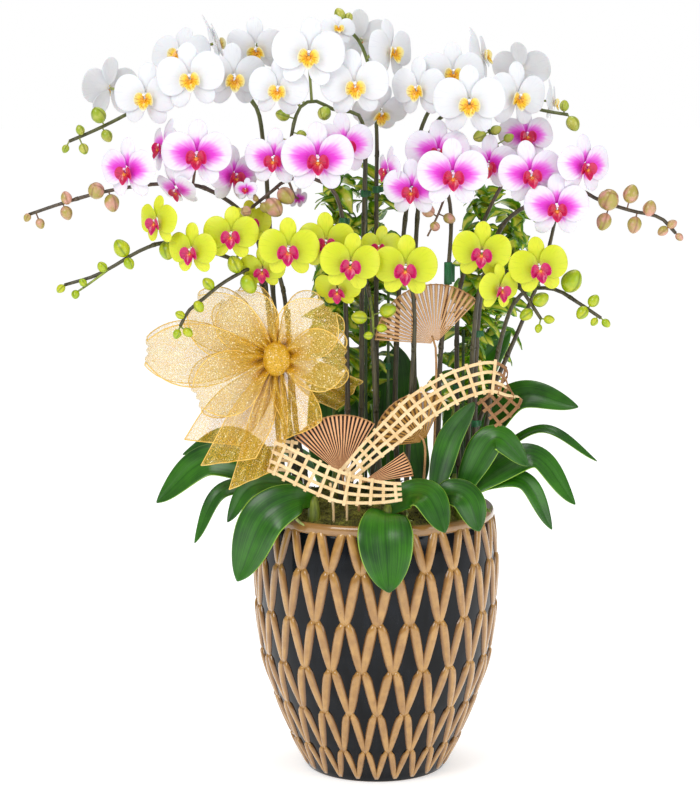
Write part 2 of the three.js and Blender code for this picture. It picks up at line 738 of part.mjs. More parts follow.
function rosette({ crown: [x, y], top = CROWN_TOP, leaves }) {
  const low = MEDIUM_TOP + SEAT_GAP;
  const trunk = new THREE.CylinderGeometry(CROWN_RADIUS - 1, CROWN_RADIUS, top - low, CROWN_SIDES);
  const pieces = [solid(trunk.rotateX(Math.PI / 2).translate(x, y, (top + low) / 2))];
  for (const { path, width, face } of leaves) {
    const curve = curveThrough([[x, y, top - 6], ...path]);
    const up = vector(face).normalize();
    const side = (share) => new THREE.Vector3().crossVectors(up, curve.getTangentAt(share));
    const form = (share) => 0.2 + 0.8 * Math.sin(Math.PI * Math.pow(share, 0.8)) ** 0.7;
    const taper = (share) => width * (share > 0.99 ? 0.1 : form(share));
    const groove = (share, across) => -0.08 * width * (1 - Math.abs(across)) * form(share);
    const leaf = strip({
      path: [[x, y, top - 6], ...path],
      width: taper,
      thick: LEAF_THICK,
      side,
      steps: LEAF_STEPS,
      across: 2,
      lift: groove,
    });
    pieces.push(solid(leaf));
  }
  return fuse(pieces);
}

// Filler sprigs: a stem with curled leaflets, kept clear of the flower spikes.
const SPRIGS = {
  filler_left: [[-58, 34, 400], [-58, 50, 560], [-56, 62, 690], [-54, 66, 812]],
  filler_middle: [[-18, 62, 400], [-8, 66, 600], [-2, 68, 700], [-2, 66, 812]],
  filler_right: [[94, 44, 400], [110, 52, 500], [138, 60, 640], [150, 62, 790]],
  filler_far_right: [[90, 102, 400], [132, 132, 520], [184, 126, 640], [200, 110, 765]],
};
const SPRIG_SEED = 38;
const SPRIG_LEAVES = 9;
const SPRIG_FREE_SHARE = 0.42;
const SPRIG_RADIUS = 3;
const LEAFLET_THICK = 1;
const GOLDEN_TURN = 137.5;

// A leaflet's flat outline: a diamond split along its midrib, which runs along Y.
const LEAFLET = new THREE.PlaneGeometry(1, 1).rotateZ(Math.PI / 4).scale(0.55, 0.72, 1);

function sprig(path, seed, keepOut) {
  const draw = seeded(seed);
  const full = [[path[0][0], path[0][1], MEDIUM_TOP + SEAT_GAP], ...path];
  const pieces = [solid(stem(full, SPRIG_RADIUS, SPRIG_RADIUS / 2, 3, 7))];
  const curve = curveThrough(full);
  for (let i = 0; i < SPRIG_LEAVES; i += 1) {
    const root = curve.getPointAt(SPRIG_FREE_SHARE + (1 - SPRIG_FREE_SHARE) * (i + 0.5) / SPRIG_LEAVES);
    const turn = radians(GOLDEN_TURN * i + 30 * draw());
    const size = 30 + 12 * draw();
    const out = new THREE.Vector3(Math.cos(turn), Math.sin(turn), 0.35 * draw()).normalize();
    const middle = root.clone().addScaledVector(out, size / 2);
    if (keepOut.some((place) => place.distanceTo(middle) < size * 0.55 + 8)) continue;
    const curl = 0.25 + 0.3 * draw();
    const leaflet = blade(LEAFLET, (x, y, face) => {
      const fold = curl * Math.abs(x) * size;
      return new THREE.Vector3(x * size, y * size, face * LEAFLET_THICK / 2 - fold);
    });
    const stance = new THREE.Quaternion().setFromUnitVectors(new THREE.Vector3(0, 1, 0), out);
    leaflet.applyQuaternion(stance).translate(middle.x, middle.y, middle.z);
    pieces.push(solid(leaflet));
  }
  return fuse(pieces);
}

// Bow: loops as [tip], tails as [paths], all from the knot.
const KNOT = [-134, -74.9, 580];
const KNOT_RADII = [19, 15, 22];
const RIBBON_WIDTH = 84;
const RIBBON_THICK = 1.2;
const LOOP_STEPS = 8;
const TAIL_STEPS = 5;
const BOW_LOOPS = [
  [-306, -118, 594],
  [-236, -112, 660],
  [-222, -126, 520],
  [-62, -112, 654],
  [-38, -118, 584],
];
const LOOP_SWELL = 26;
const BOW_TAILS = [
  [[-162, -94, 540], [-200, -112, 498], [-226, -122, 462]],
  [[-150, -106, 532], [-178, -132, 478], [-198, -142, 432]],
  [[-138, -118, 525], [-140, -150, 470], [-150, -160, 408]],
  [[-122, -100, 540], [-106, -108, 508], [-96, -110, 484]],
];

function bowLoop(tip) {
  const knot = vector(KNOT);
  const reach = vector(tip).sub(knot);
  // Each stop is a share of the reach and how far the ribbon stands forward there.
  const stops = [[0.05, 4], [0.4, LOOP_SWELL], [0.8, LOOP_SWELL], [1, 6], [0.8, -6], [0.4, -2], [0.05, 2]];
  const path = stops.map(([share, forward]) => [
    knot.x + share * reach.x, knot.y + share * reach.y - forward, knot.z + share * reach.z,
  ]);
  const across = new THREE.Vector3(0, 1, 0).cross(reach).normalize();
  const width = (share) => RIBBON_WIDTH * (0.12 + 0.88 * Math.sin(Math.PI * share) ** 1.4);
  return strip({
    path,
    width,
    thick: RIBBON_THICK,
    side: () => across,
    steps: LOOP_STEPS,
  });
}

function bowTail(path) {
  const start = vector(KNOT).lerp(vector(path[0]), 0.15);
  const reach = vector(path[path.length - 1]).sub(start);
  const across = new THREE.Vector3(0, 1, 0).cross(reach).normalize();
  const width = (share) => RIBBON_WIDTH * (0.12 + 0.6 * Math.min(1, 1.5 * share));
  return strip({
    path: [start.toArray(), ...path],
    width,
    thick: RIBBON_THICK,
    side: () => across,
    steps: TAIL_STEPS,
  });
}

function bow() {
  const knot = new THREE.IcosahedronGeometry(1, 0).scale(...KNOT_RADII).translate(...KNOT);
  const ribbons = [...BOW_LOOPS.map(bowLoop), ...BOW_TAILS.map(bowTail)];
  return fuse([solid(knot), ...ribbons.map(solid)]);
}

// Fans: a pleated blade from its apex, on a stick that stands in the moss.
const FANS = {
  fan_tall: { apex: [78, -61, 596], radius: 80, from: 46, to: 176, pleats: 10, foot: [76, -58] },
  fan_low: { apex: [-46, -104, 426], radius: 80, from: 58, to: 142, pleats: 7, foot: [-42, -96] },
  fan_back: { apex: [63, -85, 467], radius: 66, from: 66, to: 186, pleats: 7, foot: [62, -84] },
  fan_small: { apex: [-22, -112, 416], radius: 70, from: 8, to: 36, pleats: 4, foot: [-24, -106] },
};
const PLEAT_DEPTH = 1.6;
const FAN_THICK = 1.2;
const STICK_RADIUS = 2;

function fan({ apex, radius, from, to, pleats, foot }) {
  const flat = new THREE.PlaneGeometry(1, 1, 2 * pleats, 1);
  const pleated = blade(flat, (x, y, face) => {
    const turn = radians(THREE.MathUtils.lerp(to, from, x + 0.5));
    const length = THREE.MathUtils.lerp(5, radius, y + 0.5);
    const crease = Math.round((x + 0.5) * 2 * pleats) % 2 ? 1 : -1;
    const depth = crease * PLEAT_DEPTH * length / radius + face * FAN_THICK / 2;
    return new THREE.Vector3(length * Math.cos(turn), -depth, length * Math.sin(turn)).add(vector(apex));
  });
  const middle = radians((from + to) / 2);
  const grip = [apex[0] + 12 * Math.cos(middle), apex[1], apex[2] + 12 * Math.sin(middle)];
  const low = MEDIUM_TOP + SEAT_GAP;
  const path = [[...foot, low], [...foot, 396], apex, grip];
  return fuse([solid(pleated), solid(stem(path, STICK_RADIUS, STICK_RADIUS, 4, 4))]);
}

// Lattice bands: long slats along a curve with short slats across them, on a leg in the moss.
const LATTICES = {
  lattice_low: {
    path: [
      [-108, -106, 450], [-132, -114, 454], [-140, -126, 455], [-125, -136, 450], [-100, -139, 438],
      [-75, -141, 426], [-45, -142, 415], [-10, -142, 410], [14, -142, 409], [32, -142, 410],
    ],
    side: [0.25, 0.1, 1],
    leg: [[-62, -141.5, 421], [-60, -128, 400], [-58, -120, 384]],
  },
  lattice_high: {
    path: [
      [-42, -127, 428], [-8, -126, 462], [30, -125, 496],
      [55, -122, 518], [80, -120, 534], [100, -118, 545],
      [125, -115, 554], [150, -110, 558], [167, -102, 551],
      [176, -92, 536], [165, -84, 518], [146, -78, 502],
    ],
    side: [-0.45, 0, 1],
    leg: [[-41, -127, 429], [-40, -125, 405], [-40, -123, 384]],
  },
};
const SLAT_CROSSINGS = 8;
const SLAT_SPACING = 14.5;
const SLAT_WIDTH = 5.5;
const SLAT_THICK = 1.6;
const SLAT_REACH = 39;
const LEG_RADIUS = 1.8;

// The flat lattice: a grid of cells, kept where a long slat or a short slat lies.
function latticeGrid(length) {
  const half = SLAT_WIDTH / 2;
  const centres = Array.from({ length: SLAT_CROSSINGS }, (_, i) => (length * (i + 0.5)) / SLAT_CROSSINGS);
  const columns = [0, ...centres.flatMap((x) => [x - half, x + half]), length];
  const slats = [-SLAT_SPACING, 0, SLAT_SPACING].flatMap((y) => [y - half, y + half]);
  const rows = [-SLAT_REACH / 2, ...slats, SLAT_REACH / 2];
  const places = columns.flatMap((x) => rows.flatMap((y) => [x, y, 0]));
  const index = [];
  for (let i = 0; i < columns.length - 1; i += 1) {
    for (let k = 0; k < rows.length - 1; k += 1) {
      if (i % 2 === 0 && k % 2 === 0) continue;
      const [a, b] = [i * rows.length + k, (i + 1) * rows.length + k];
      index.push(a, b, b + 1, a, b + 1, a + 1);
    }
  }
  const flat = new THREE.BufferGeometry();
  flat.setAttribute('position', new THREE.Float32BufferAttribute(places, 3));
  flat.setIndex(index);
  return flat;
}

function lattice({ path, side, leg }) {
  const curve = curveThrough(path);
  const length = curve.getLength();
  const across = vector(side).normalize();
  const band = blade(latticeGrid(length), (x, y, face) => {
    const share = THREE.MathUtils.clamp(x / length, 0, 1);
    const along = curve.getTangentAt(share);
    const wide = across.clone().addScaledVector(along, -across.dot(along)).normalize();
    const out = new THREE.Vector3().crossVectors(along, wide);
    return curve.getPointAt(share).addScaledVector(wide, y).addScaledVector(out, face * SLAT_THICK / 2);
  });
  const [x, y] = leg[leg.length - 1];
  const pick = stem([...leg, [x, y, MEDIUM_TOP + SEAT_GAP]], LEG_RADIUS, LEG_RADIUS, 4, 5);
  return fuse([solid(band), solid(pick)]);
}

// Stakes: straight rods with a clip, beside the tall stems, as [x, y, top, clip height].
const STAKES = {
  stake_left: [-118, -34, 640, 600],
  stake_middle: [-14, 10, 870, 690],
  stake_mid_right: [16, -14, 700, 560],
  stake_right: [118, -12, 610, 470],
};
const STAKE_RADIUS = 2;
const CLIP_RADIUS = 4;
const CLIP_HEIGHT = 9;

function stake([x, y, top, clip]) {
  const low = MEDIUM_TOP + SEAT_GAP;
  const rod = new THREE.CylinderGeometry(STAKE_RADIUS, STAKE_RADIUS, top - low, 4);
  const band = new THREE.CylinderGeometry(CLIP_RADIUS, CLIP_RADIUS, CLIP_HEIGHT, 4);
  return fuse([
    solid(rod.rotateX(Math.PI / 2).translate(x, y, (top + low) / 2)),
    solid(band.rotateX(Math.PI / 2).translate(x, y, clip)),
  ]);
}

const root = new THREE.Group();

function addNode(name, made, colour, roughness) {
  const material = new THREE.MeshStandardMaterial({ color: COLOURS[colour], roughness, metalness: 0 });
  const mesh = new THREE.Mesh(geometryOf(made), material);
  mesh.name = name;
  root.add(mesh);
}

const sprayPlaces = Object.values(SPRAYS).flatMap(({ spike, blooms }) => [
  ...curveThrough(spike).getSpacedPoints(30),
  ...blooms.map(vector),
]);
const stems = [
  ...Object.values(SPRAYS).map(({ spike }) => [spike[0], SPIKE_RADIUS]),
  ...Object.values(PLANTS).map(({ crown }) => [crown, CROWN_RADIUS]),
  ...Object.values(SPRIGS).map((path) => [path[0], SPRIG_RADIUS]),
  ...Object.values(FANS).map(({ foot }) => [foot, STICK_RADIUS]),
  ...Object.values(LATTICES).map(({ leg }) => [leg[leg.length - 1], LEG_RADIUS]),
  ...Object.values(STAKES).map((place) => [place, STAKE_RADIUS]),
];

addNode('pot', pot(), 'tan', 0.25);
addNode('growing_medium', growingMedium(), 'bark', 0.95);
addNode('moss_cover', mossCover(stems), 'moss', 0.95);
for (const [name, each] of Object.entries(SPRAYS)) addNode(name, spray(each), each.colour, 0.5);
for (const [name, each] of Object.entries(PLANTS)) addNode(name, rosette(each), 'leaf', 0.35);
Object.entries(SPRIGS).forEach(([name, path], i) => {
  addNode(name, sprig(path, SPRIG_SEED + i, sprayPlaces), 'filler', 0.5);
});
addNode('bow', bow(), 'ribbon', 0.4);
for (const [name, each] of Object.entries(FANS)) addNode(name, fan(each), 'fan', 0.7);
for (const [name, each] of Object.entries(LATTICES)) addNode(name, lattice(each), 'bamboo', 0.6);
for (const [name, each] of Object.entries(STAKES)) addNode(name, stake(each), 'stake', 0.5);

export default root;
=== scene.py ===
"""Moth orchids in a glazed pot with a woven-look relief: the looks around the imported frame."""

import logging
import math
from collections.abc import Callable, Iterator, Sequence
from contextlib import contextmanager
from dataclasses import dataclass, field
from enum import Enum

import bpy
import numpy as np
from mathutils import Matrix, Vector

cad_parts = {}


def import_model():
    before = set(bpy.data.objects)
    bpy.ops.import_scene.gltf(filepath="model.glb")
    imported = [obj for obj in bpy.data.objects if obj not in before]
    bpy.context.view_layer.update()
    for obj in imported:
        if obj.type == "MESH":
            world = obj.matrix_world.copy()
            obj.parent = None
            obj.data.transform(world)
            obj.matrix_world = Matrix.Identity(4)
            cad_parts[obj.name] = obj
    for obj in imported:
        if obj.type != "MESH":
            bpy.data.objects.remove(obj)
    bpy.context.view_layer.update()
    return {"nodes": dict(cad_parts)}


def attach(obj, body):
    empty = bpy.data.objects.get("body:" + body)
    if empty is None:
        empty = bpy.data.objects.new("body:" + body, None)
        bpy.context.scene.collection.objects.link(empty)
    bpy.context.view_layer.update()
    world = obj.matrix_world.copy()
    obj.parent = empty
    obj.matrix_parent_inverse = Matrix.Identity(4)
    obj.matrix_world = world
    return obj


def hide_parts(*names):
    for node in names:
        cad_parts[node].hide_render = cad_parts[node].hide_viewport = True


log = logging.getLogger("orchids")

MM = 0.001
BODY = "root"
MEDIUM_TOP = 335.3

Places = Sequence[Sequence[float]]
Colour = tuple[float, float, float, float]
Rule = Callable[[np.ndarray], np.ndarray]
Object = bpy.types.Object
Socket = bpy.types.NodeSocket
Material = bpy.types.Material
Draw = np.random.Generator


class Start(Enum):
    """The primitives that pieces are shaped from."""

    GRID = "grid"
    BALL = "uv_sphere"
    ROD = "cylinder"
    BLOCK = "cube"
    HOOP = "circle"


class Kind(Enum):
    """The three kinds of moth orchid in the pot."""

    WHITE = "white"
    PINK = "pink"
    YELLOW = "yellow"


class Slot(Enum):
    """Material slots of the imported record."""

    POT = "glazed_pot"
    MIX = "potting_mix"
    MOSS = "moss"
    WHITE = "white_bloom"
    PINK = "pink_bloom"
    YELLOW = "yellow_bloom"
    LEAF = "orchid_leaf"
    FILLER = "filler_leaf"
    RIBBON = "mesh_ribbon"
    FAN = "dried_fan"
    BAMBOO = "bamboo"
    STAKE = "stake"


def rgb(red: float, green: float, blue: float) -> Colour:
    """Turns a display colour of 0 to 255 into the renderer's linear colour.

    Args:
        red: Red, 0 to 255.
        green: Green, 0 to 255.
        blue: Blue, 0 to 255.

    Returns:
        The linear colour with full alpha.
    """

    def linear(value: float) -> float:
        """Undoes the display curve of one channel."""
        share = value / 255
        return share / 12.92 if share <= 0.04045 else ((share + 0.055) / 1.055) ** 2.4

    return (linear(red), linear(green), linear(blue), 1.0)


def pick(*objects: Object) -> None:
    """Selects these objects alone and makes the first one active."""
    bpy.ops.object.select_all(action="DESELECT")
    for each in objects:
        each.select_set(True)
    bpy.context.view_layer.objects.active = objects[0]


def primitive(start: Start, name: str, **sizes: object) -> Object:
    """Adds a primitive to shape.

    Args:
        start: Which primitive.
        name: Name of the new object.
        **sizes: Its sizes, as the operator takes them.

    Returns:
        The new object, alone selected.
    """
    bpy.ops.object.select_all(action="DESELECT")
    getattr(bpy.ops.mesh, f"primitive_{start.value}_add")(**sizes)
    made = bpy.context.object
    made.name = name
    return made


def spun(degrees: float, axis: str = "Z") -> Matrix:
    """Returns a turn round one axis."""
    return Matrix.Rotation(math.radians(degrees), 4, axis)


def flat_grid(name: str, along: int, across: int) -> Object:
    """Adds a flat grid of one unit with this many cells each way."""
    return primitive(Start.GRID, name, x_subdivisions=along, y_subdivisions=across, size=1)


def places_of(obj: Object) -> np.ndarray:
    """Returns the places of a mesh's points, one row each."""
    flat = np.empty(3 * len(obj.data.vertices))
    obj.data.vertices.foreach_get("co", flat)
    return flat.reshape(-1, 3)


def reshape(obj: Object, rule: Rule) -> Object:
    """Moves every point of a mesh by one rule.

    Args:
        obj: The mesh object.
        rule: Takes all places and returns the new ones.

    Returns:
        The same object.
    """
    obj.data.vertices.foreach_set("co", rule(places_of(obj)).ravel())
    obj.data.update()
    return obj


def modified(obj: Object, kind: str, **settings: object) -> Object:
    """Adds a modifier to a mesh and applies it.

    Args:
        obj: The mesh object.
        kind: The modifier's type.
        **settings: The modifier's own settings.

    Returns:
        The same object.
    """
    pick(obj)
    added = obj.modifiers.new(kind.title(), kind)
    for key, value in settings.items():
        setattr(added, key, value)
    bpy.ops.object.modifier_apply(modifier=added.name)
    return obj


def softened(obj: Object) -> Object:
    """Subdivides a mesh smoothly and applies it."""
    return modified(obj, "SUBSURF", levels=1, render_levels=1)


def thickened(obj: Object, thickness: float) -> Object:
    """Gives a surface an even thickness on both sides."""
    return modified(obj, "SOLIDIFY", thickness=thickness, offset=0)


@contextmanager
def editing(obj: Object) -> Iterator[None]:
    """Opens a mesh for editing with all of it selected, and closes it again."""
    pick(obj)
    bpy.ops.object.mode_set(mode="EDIT")
    bpy.ops.mesh.select_all(action="SELECT")
    yield
    bpy.ops.object.mode_set(mode="OBJECT")


def welded(obj: Object, distance: float) -> Object:
    """Merges doubled points and turns all faces outwards.

    Args:
        obj: The mesh object.
        distance: Points nearer than this become one.

    Returns:
        The same object.
    """
    with editing(obj):
        bpy.ops.mesh.remove_doubles(threshold=distance)
        bpy.ops.mesh.normals_make_consistent(inside=False)
    return obj


def bevelled(obj: Object, width: float) -> Object:
    """Rounds all edges of a mesh by a width in millimetres."""
    with editing(obj):
        bpy.ops.mesh.bevel(offset=width * MM, segments=3, affect="EDGES")
    return obj


def smoothed(obj: Object) -> Object:
    """Shades a mesh smooth all over."""
    obj.data.polygons.foreach_set("use_smooth", [True] * len(obj.data.polygons))
    return obj


def copied(obj: Object, matrix: Matrix) -> Object:
    """Copies an object with a mesh of its own, moved by a matrix.

    Args:
        obj: The object to copy.
        matrix: Where the copy's mesh goes.

    Returns:
        The copy.
    """
    twin = obj.copy()
    twin.data = obj.data.copy()
    twin.data.transform(matrix)
    bpy.context.scene.collection.objects.link(twin)
    return twin


def joined(name: str, objects: Sequence[Object]) -> Object:
    """Joins several meshes into one object.

    Args:
        name: Name of the whole.
        objects: The parts, at least one.

    Returns:
        The joined object.
    """
    pick(*objects)
    if len(objects) > 1:
        bpy.ops.object.join()
    whole = bpy.context.view_layer.objects.active
    whole.name = name
    whole.data.name = name
    return whole


def removed(*objects: Object) -> None:
    """Deletes objects that were only a pattern for copies."""
    for each in objects:
        bpy.data.objects.remove(each)


def linked(name: str, data: bpy.types.ID) -> Object:
    """Makes an object of some data and puts it into the scene."""
    made = bpy.data.objects.new(name, data)
    bpy.context.scene.collection.objects.link(made)
    return made


def painted(obj: Object, material: Material) -> Object:
    """Gives a mesh one material all over."""
    obj.data.materials.clear()
    obj.data.materials.append(material)
    return obj


def unit(rows: np.ndarray) -> np.ndarray:
    """Returns each row at length one."""
    return rows / np.maximum(np.linalg.norm(rows, axis=-1, keepdims=True), 1e-12)


def mapped(obj: Object, rule: Rule) -> Object:
    """Lays a piece's own map by the places of its points.

    Args:
        obj: The mesh object.
        rule: Takes all places and returns two numbers for each.

    Returns:
        The same object.
    """
    corners = np.empty(len(obj.data.loops), int)
    obj.data.loops.foreach_get("vertex_index", corners)
    table = rule(places_of(obj))[corners]
    obj.data.uv_layers.active.data.foreach_set("uv", table.ravel())
    return obj


def stretched(obj: Object, size: Sequence[float]) -> Object:
    """Stretches a piece's own map by a factor on each of its two axes."""
    corners = obj.data.uv_layers.active.data
    table = np.empty(2 * len(corners))
    corners.foreach_get("uv", table)
    corners.foreach_set("uv", (table.reshape(-1, 2) * np.array(size)).ravel())
    return obj


def marked(obj: Object, name: str, values: np.ndarray) -> Object:
    """Gives every point of a mesh a number that its material reads.

    Args:
        obj: The mesh object.
        name: Name of the number.
        values: One value for each point.

    Returns:
        The same object.
    """
    mark = obj.data.attributes.new(name, "FLOAT", "POINT")
    mark.data.foreach_set("value", values.astype(np.float32))
    return obj


def spread_out(flat: np.ndarray) -> tuple[np.ndarray, np.ndarray]:
    """Returns each grid point's share of the length and its edge from -1 to 1."""
    return flat[:, 0] + 0.5, 2 * flat[:, 1]


def rounded(flat: np.ndarray) -> tuple[np.ndarray, np.ndarray]:
    """Returns both coordinates of a round disc of radius one for the places of a unit grid."""
    a, b = 2 * flat[:, 0], 2 * flat[:, 1]
    return a * np.sqrt(1 - b**2 / 2), b * np.sqrt(1 - a**2 / 2)


def settled(obj: Object, slot: Slot, *nodes: str) -> Object:
    """Puts a finished piece into the frame.

    Args:
        obj: The piece.
        slot: The record's slot for its finish; not used.
        *nodes: CAD nodes that it stands for.

    Returns:
        The same object.
    """
    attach(obj, BODY)
    if nodes:
        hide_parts(*nodes)
    log.info("%s: %d faces", obj.name, len(obj.data.polygons))
    return obj


class Piece:
    """One sub-assembly of the arrangement."""

    def model(self, *skins: Material) -> Object | list[Object]:
        """Models the piece and puts it into the frame.

        Args:
            *skins: Its materials, in the order that its own words name them.

        Returns:
            The piece, or all its pieces.
        """
        raise NotImplementedError


class Path:
    """A smooth curve through places in millimetres, the same as the CAD model's."""

    SAMPLES = 24

    def __init__(self, places: Places) -> None:
        """Traces the curve.

        Args:
            places: Points that it passes through, in millimetres.
        """
        knots = np.array([place[:3] for place in places], float) * MM
        ends = [2 * knots[0] - knots[1]], [2 * knots[-1] - knots[-2]]
        padded = np.vstack([ends[0], knots, ends[1]])
        share = np.linspace(0, 1, self.SAMPLES, endpoint=False)[:, None]
        parts = []
        for i in range(len(knots) - 1):
            a, b, c, d = padded[i : i + 4]
            before, span, after = (
                max(np.linalg.norm(q - p), 1e-9) ** 0.5 for p, q in ((a, b), (b, c), (c, d))
            )
            leave = ((b - a) / before - (c - a) / (before + span) + (c - b) / span) * span
            reach = ((c - b) / span - (d - b) / (span + after) + (d - c) / after) * span
            square = -3 * b + 3 * c - 2 * leave - reach
            cube = 2 * b - 2 * c + leave + reach
            parts.append(b + leave * share + square * share**2 + cube * share**3)
        self.trace = np.vstack([*parts, knots[-1:]])
        steps = np.linalg.norm(np.diff(self.trace, axis=0), axis=1)
        self.run = np.concatenate([[0], np.cumsum(steps)])
        self.length = float(self.run[-1])

    def at(self, share: np.ndarray) -> np.ndarray:
        """Returns the places at these shares of the length."""
        run = np.clip(share, 0, 1) * self.length
        return np.stack([np.interp(run, self.run, self.trace[:, k]) for k in range(3)], -1)

    def point(self, share: float) -> Vector:
        """Returns the place at one share of the length."""
        return Vector(self.at(np.array([share]))[0])

    def heading(self, share: float) -> Vector:
        """Returns the direction at one share of the length."""
        return Vector(self.along(np.array([share]))[0])

    def along(self, share: np.ndarray) -> np.ndarray:
        """Returns the directions at these shares of the length."""
        step = 0.01
        share = np.clip(share, 0, 1)
        return unit(self.at(np.minimum(share + step, 1)) - self.at(np.maximum(share - step, 0)))

    def nearest(self, place: Vector) -> Vector:
        """Returns the place on the curve that is nearest to a place."""
        gaps = np.linalg.norm(self.trace - np.array(place), axis=1)
        return Vector(self.trace[int(gaps.argmin())])


@dataclass
class Tube:
    """One round run of a stem, wire or stick.

    Attributes:
        places: Its centre line in metres.
        radii: Its radius in metres at each place.
    """

    places: np.ndarray
    radii: np.ndarray


def tube_along(path: Path, radius: float, tip: float, steps: int) -> Tube:
    """Makes a tube along a whole path, from its radius to that of its tip, both in millimetres."""
    share = np.linspace(0, 1, steps + 1)
    return Tube(path.at(share), MM * (radius + (tip - radius) * share))


def tubes(name: str, runs: Sequence[Tube], resolution: int = 2) -> Object:
    """Makes round runs as one mesh with closed ends.

    Args:
        name: Name of the object.
        runs: The runs.
        resolution: Rounding of the section.

    Returns:
        The mesh object.
    """
    data = bpy.data.curves.new(name, "CURVE")
    data.dimensions = "3D"
    data.bevel_depth = 1
    data.bevel_resolution = resolution
    data.use_fill_caps = True
    for run in runs:
        spline = data.splines.new("POLY")
        spline.points.add(len(run.places) - 1)
        for knot, place, radius in zip(spline.points, run.places, run.radii):
            knot.co = (*place, 1)
            knot.radius = radius
    pick(linked(name, data))
    bpy.ops.object.convert(target="MESH")
    made = bpy.context.object
    made.name = name
    return smoothed(welded(made, 2e-5))


def turned(name: str, profile: Places, steps: int) -> Object:
    """Spins a closed profile round the upright axis.

    Args:
        name: Name of the object.
        profile: Points as radius and height in millimetres, in order.
        steps: Number of steps in the turn.

    Returns:
        The mesh object.
    """
    made = primitive(Start.HOOP, name, vertices=len(profile), radius=1)
    section = np.array(profile, float) * MM
    reshape(made, lambda _: np.stack([section[:, 0], 0 * section[:, 0], section[:, 1]], -1))
    with editing(made):
        bpy.ops.mesh.spin(steps=steps, angle=2 * math.pi, center=(0, 0, 0), axis=(0, 0, 1))
    return smoothed(welded(made, 1e-5))


def strip(
    name: str,
    path: Path,
    width: Rule,
    side: Sequence[float],
    face: bool,
    steps: int,
    across: int,
    lift: Callable[[np.ndarray, np.ndarray], np.ndarray],
) -> Object:
    """Lays a grid along a path.

    Args:
        name: Name of the object.
        path: The path of its middle line.
        width: Full width in metres by share of the length.
        side: The direction of its width, or of its face.
        face: True if side is the direction that the face looks in.
        steps: Cells along it.
        across: Cells across it.
        lift: How far it rises off the path, by share and by edge from -1 to 1.

    Returns:
        The surface, whose first texture axis runs along it.
    """
    made = flat_grid(name, steps, across)

    def rule(flat: np.ndarray) -> np.ndarray:
        """Places the grid's points on the path."""
        share, edge = spread_out(flat)
        along = path.along(share)
        wide = np.broadcast_to(np.array(side, float), along.shape)
        if face:
            wide = np.cross(wide, along)
        wide = unit(wide - along * (wide * along).sum(-1, keepdims=True))
        out = np.cross(along, wide)
        reach = wide * (edge / 2 * width(share))[:, None]
        return path.at(share) + reach + out * lift(share, edge)[:, None]

    return reshape(made, rule)


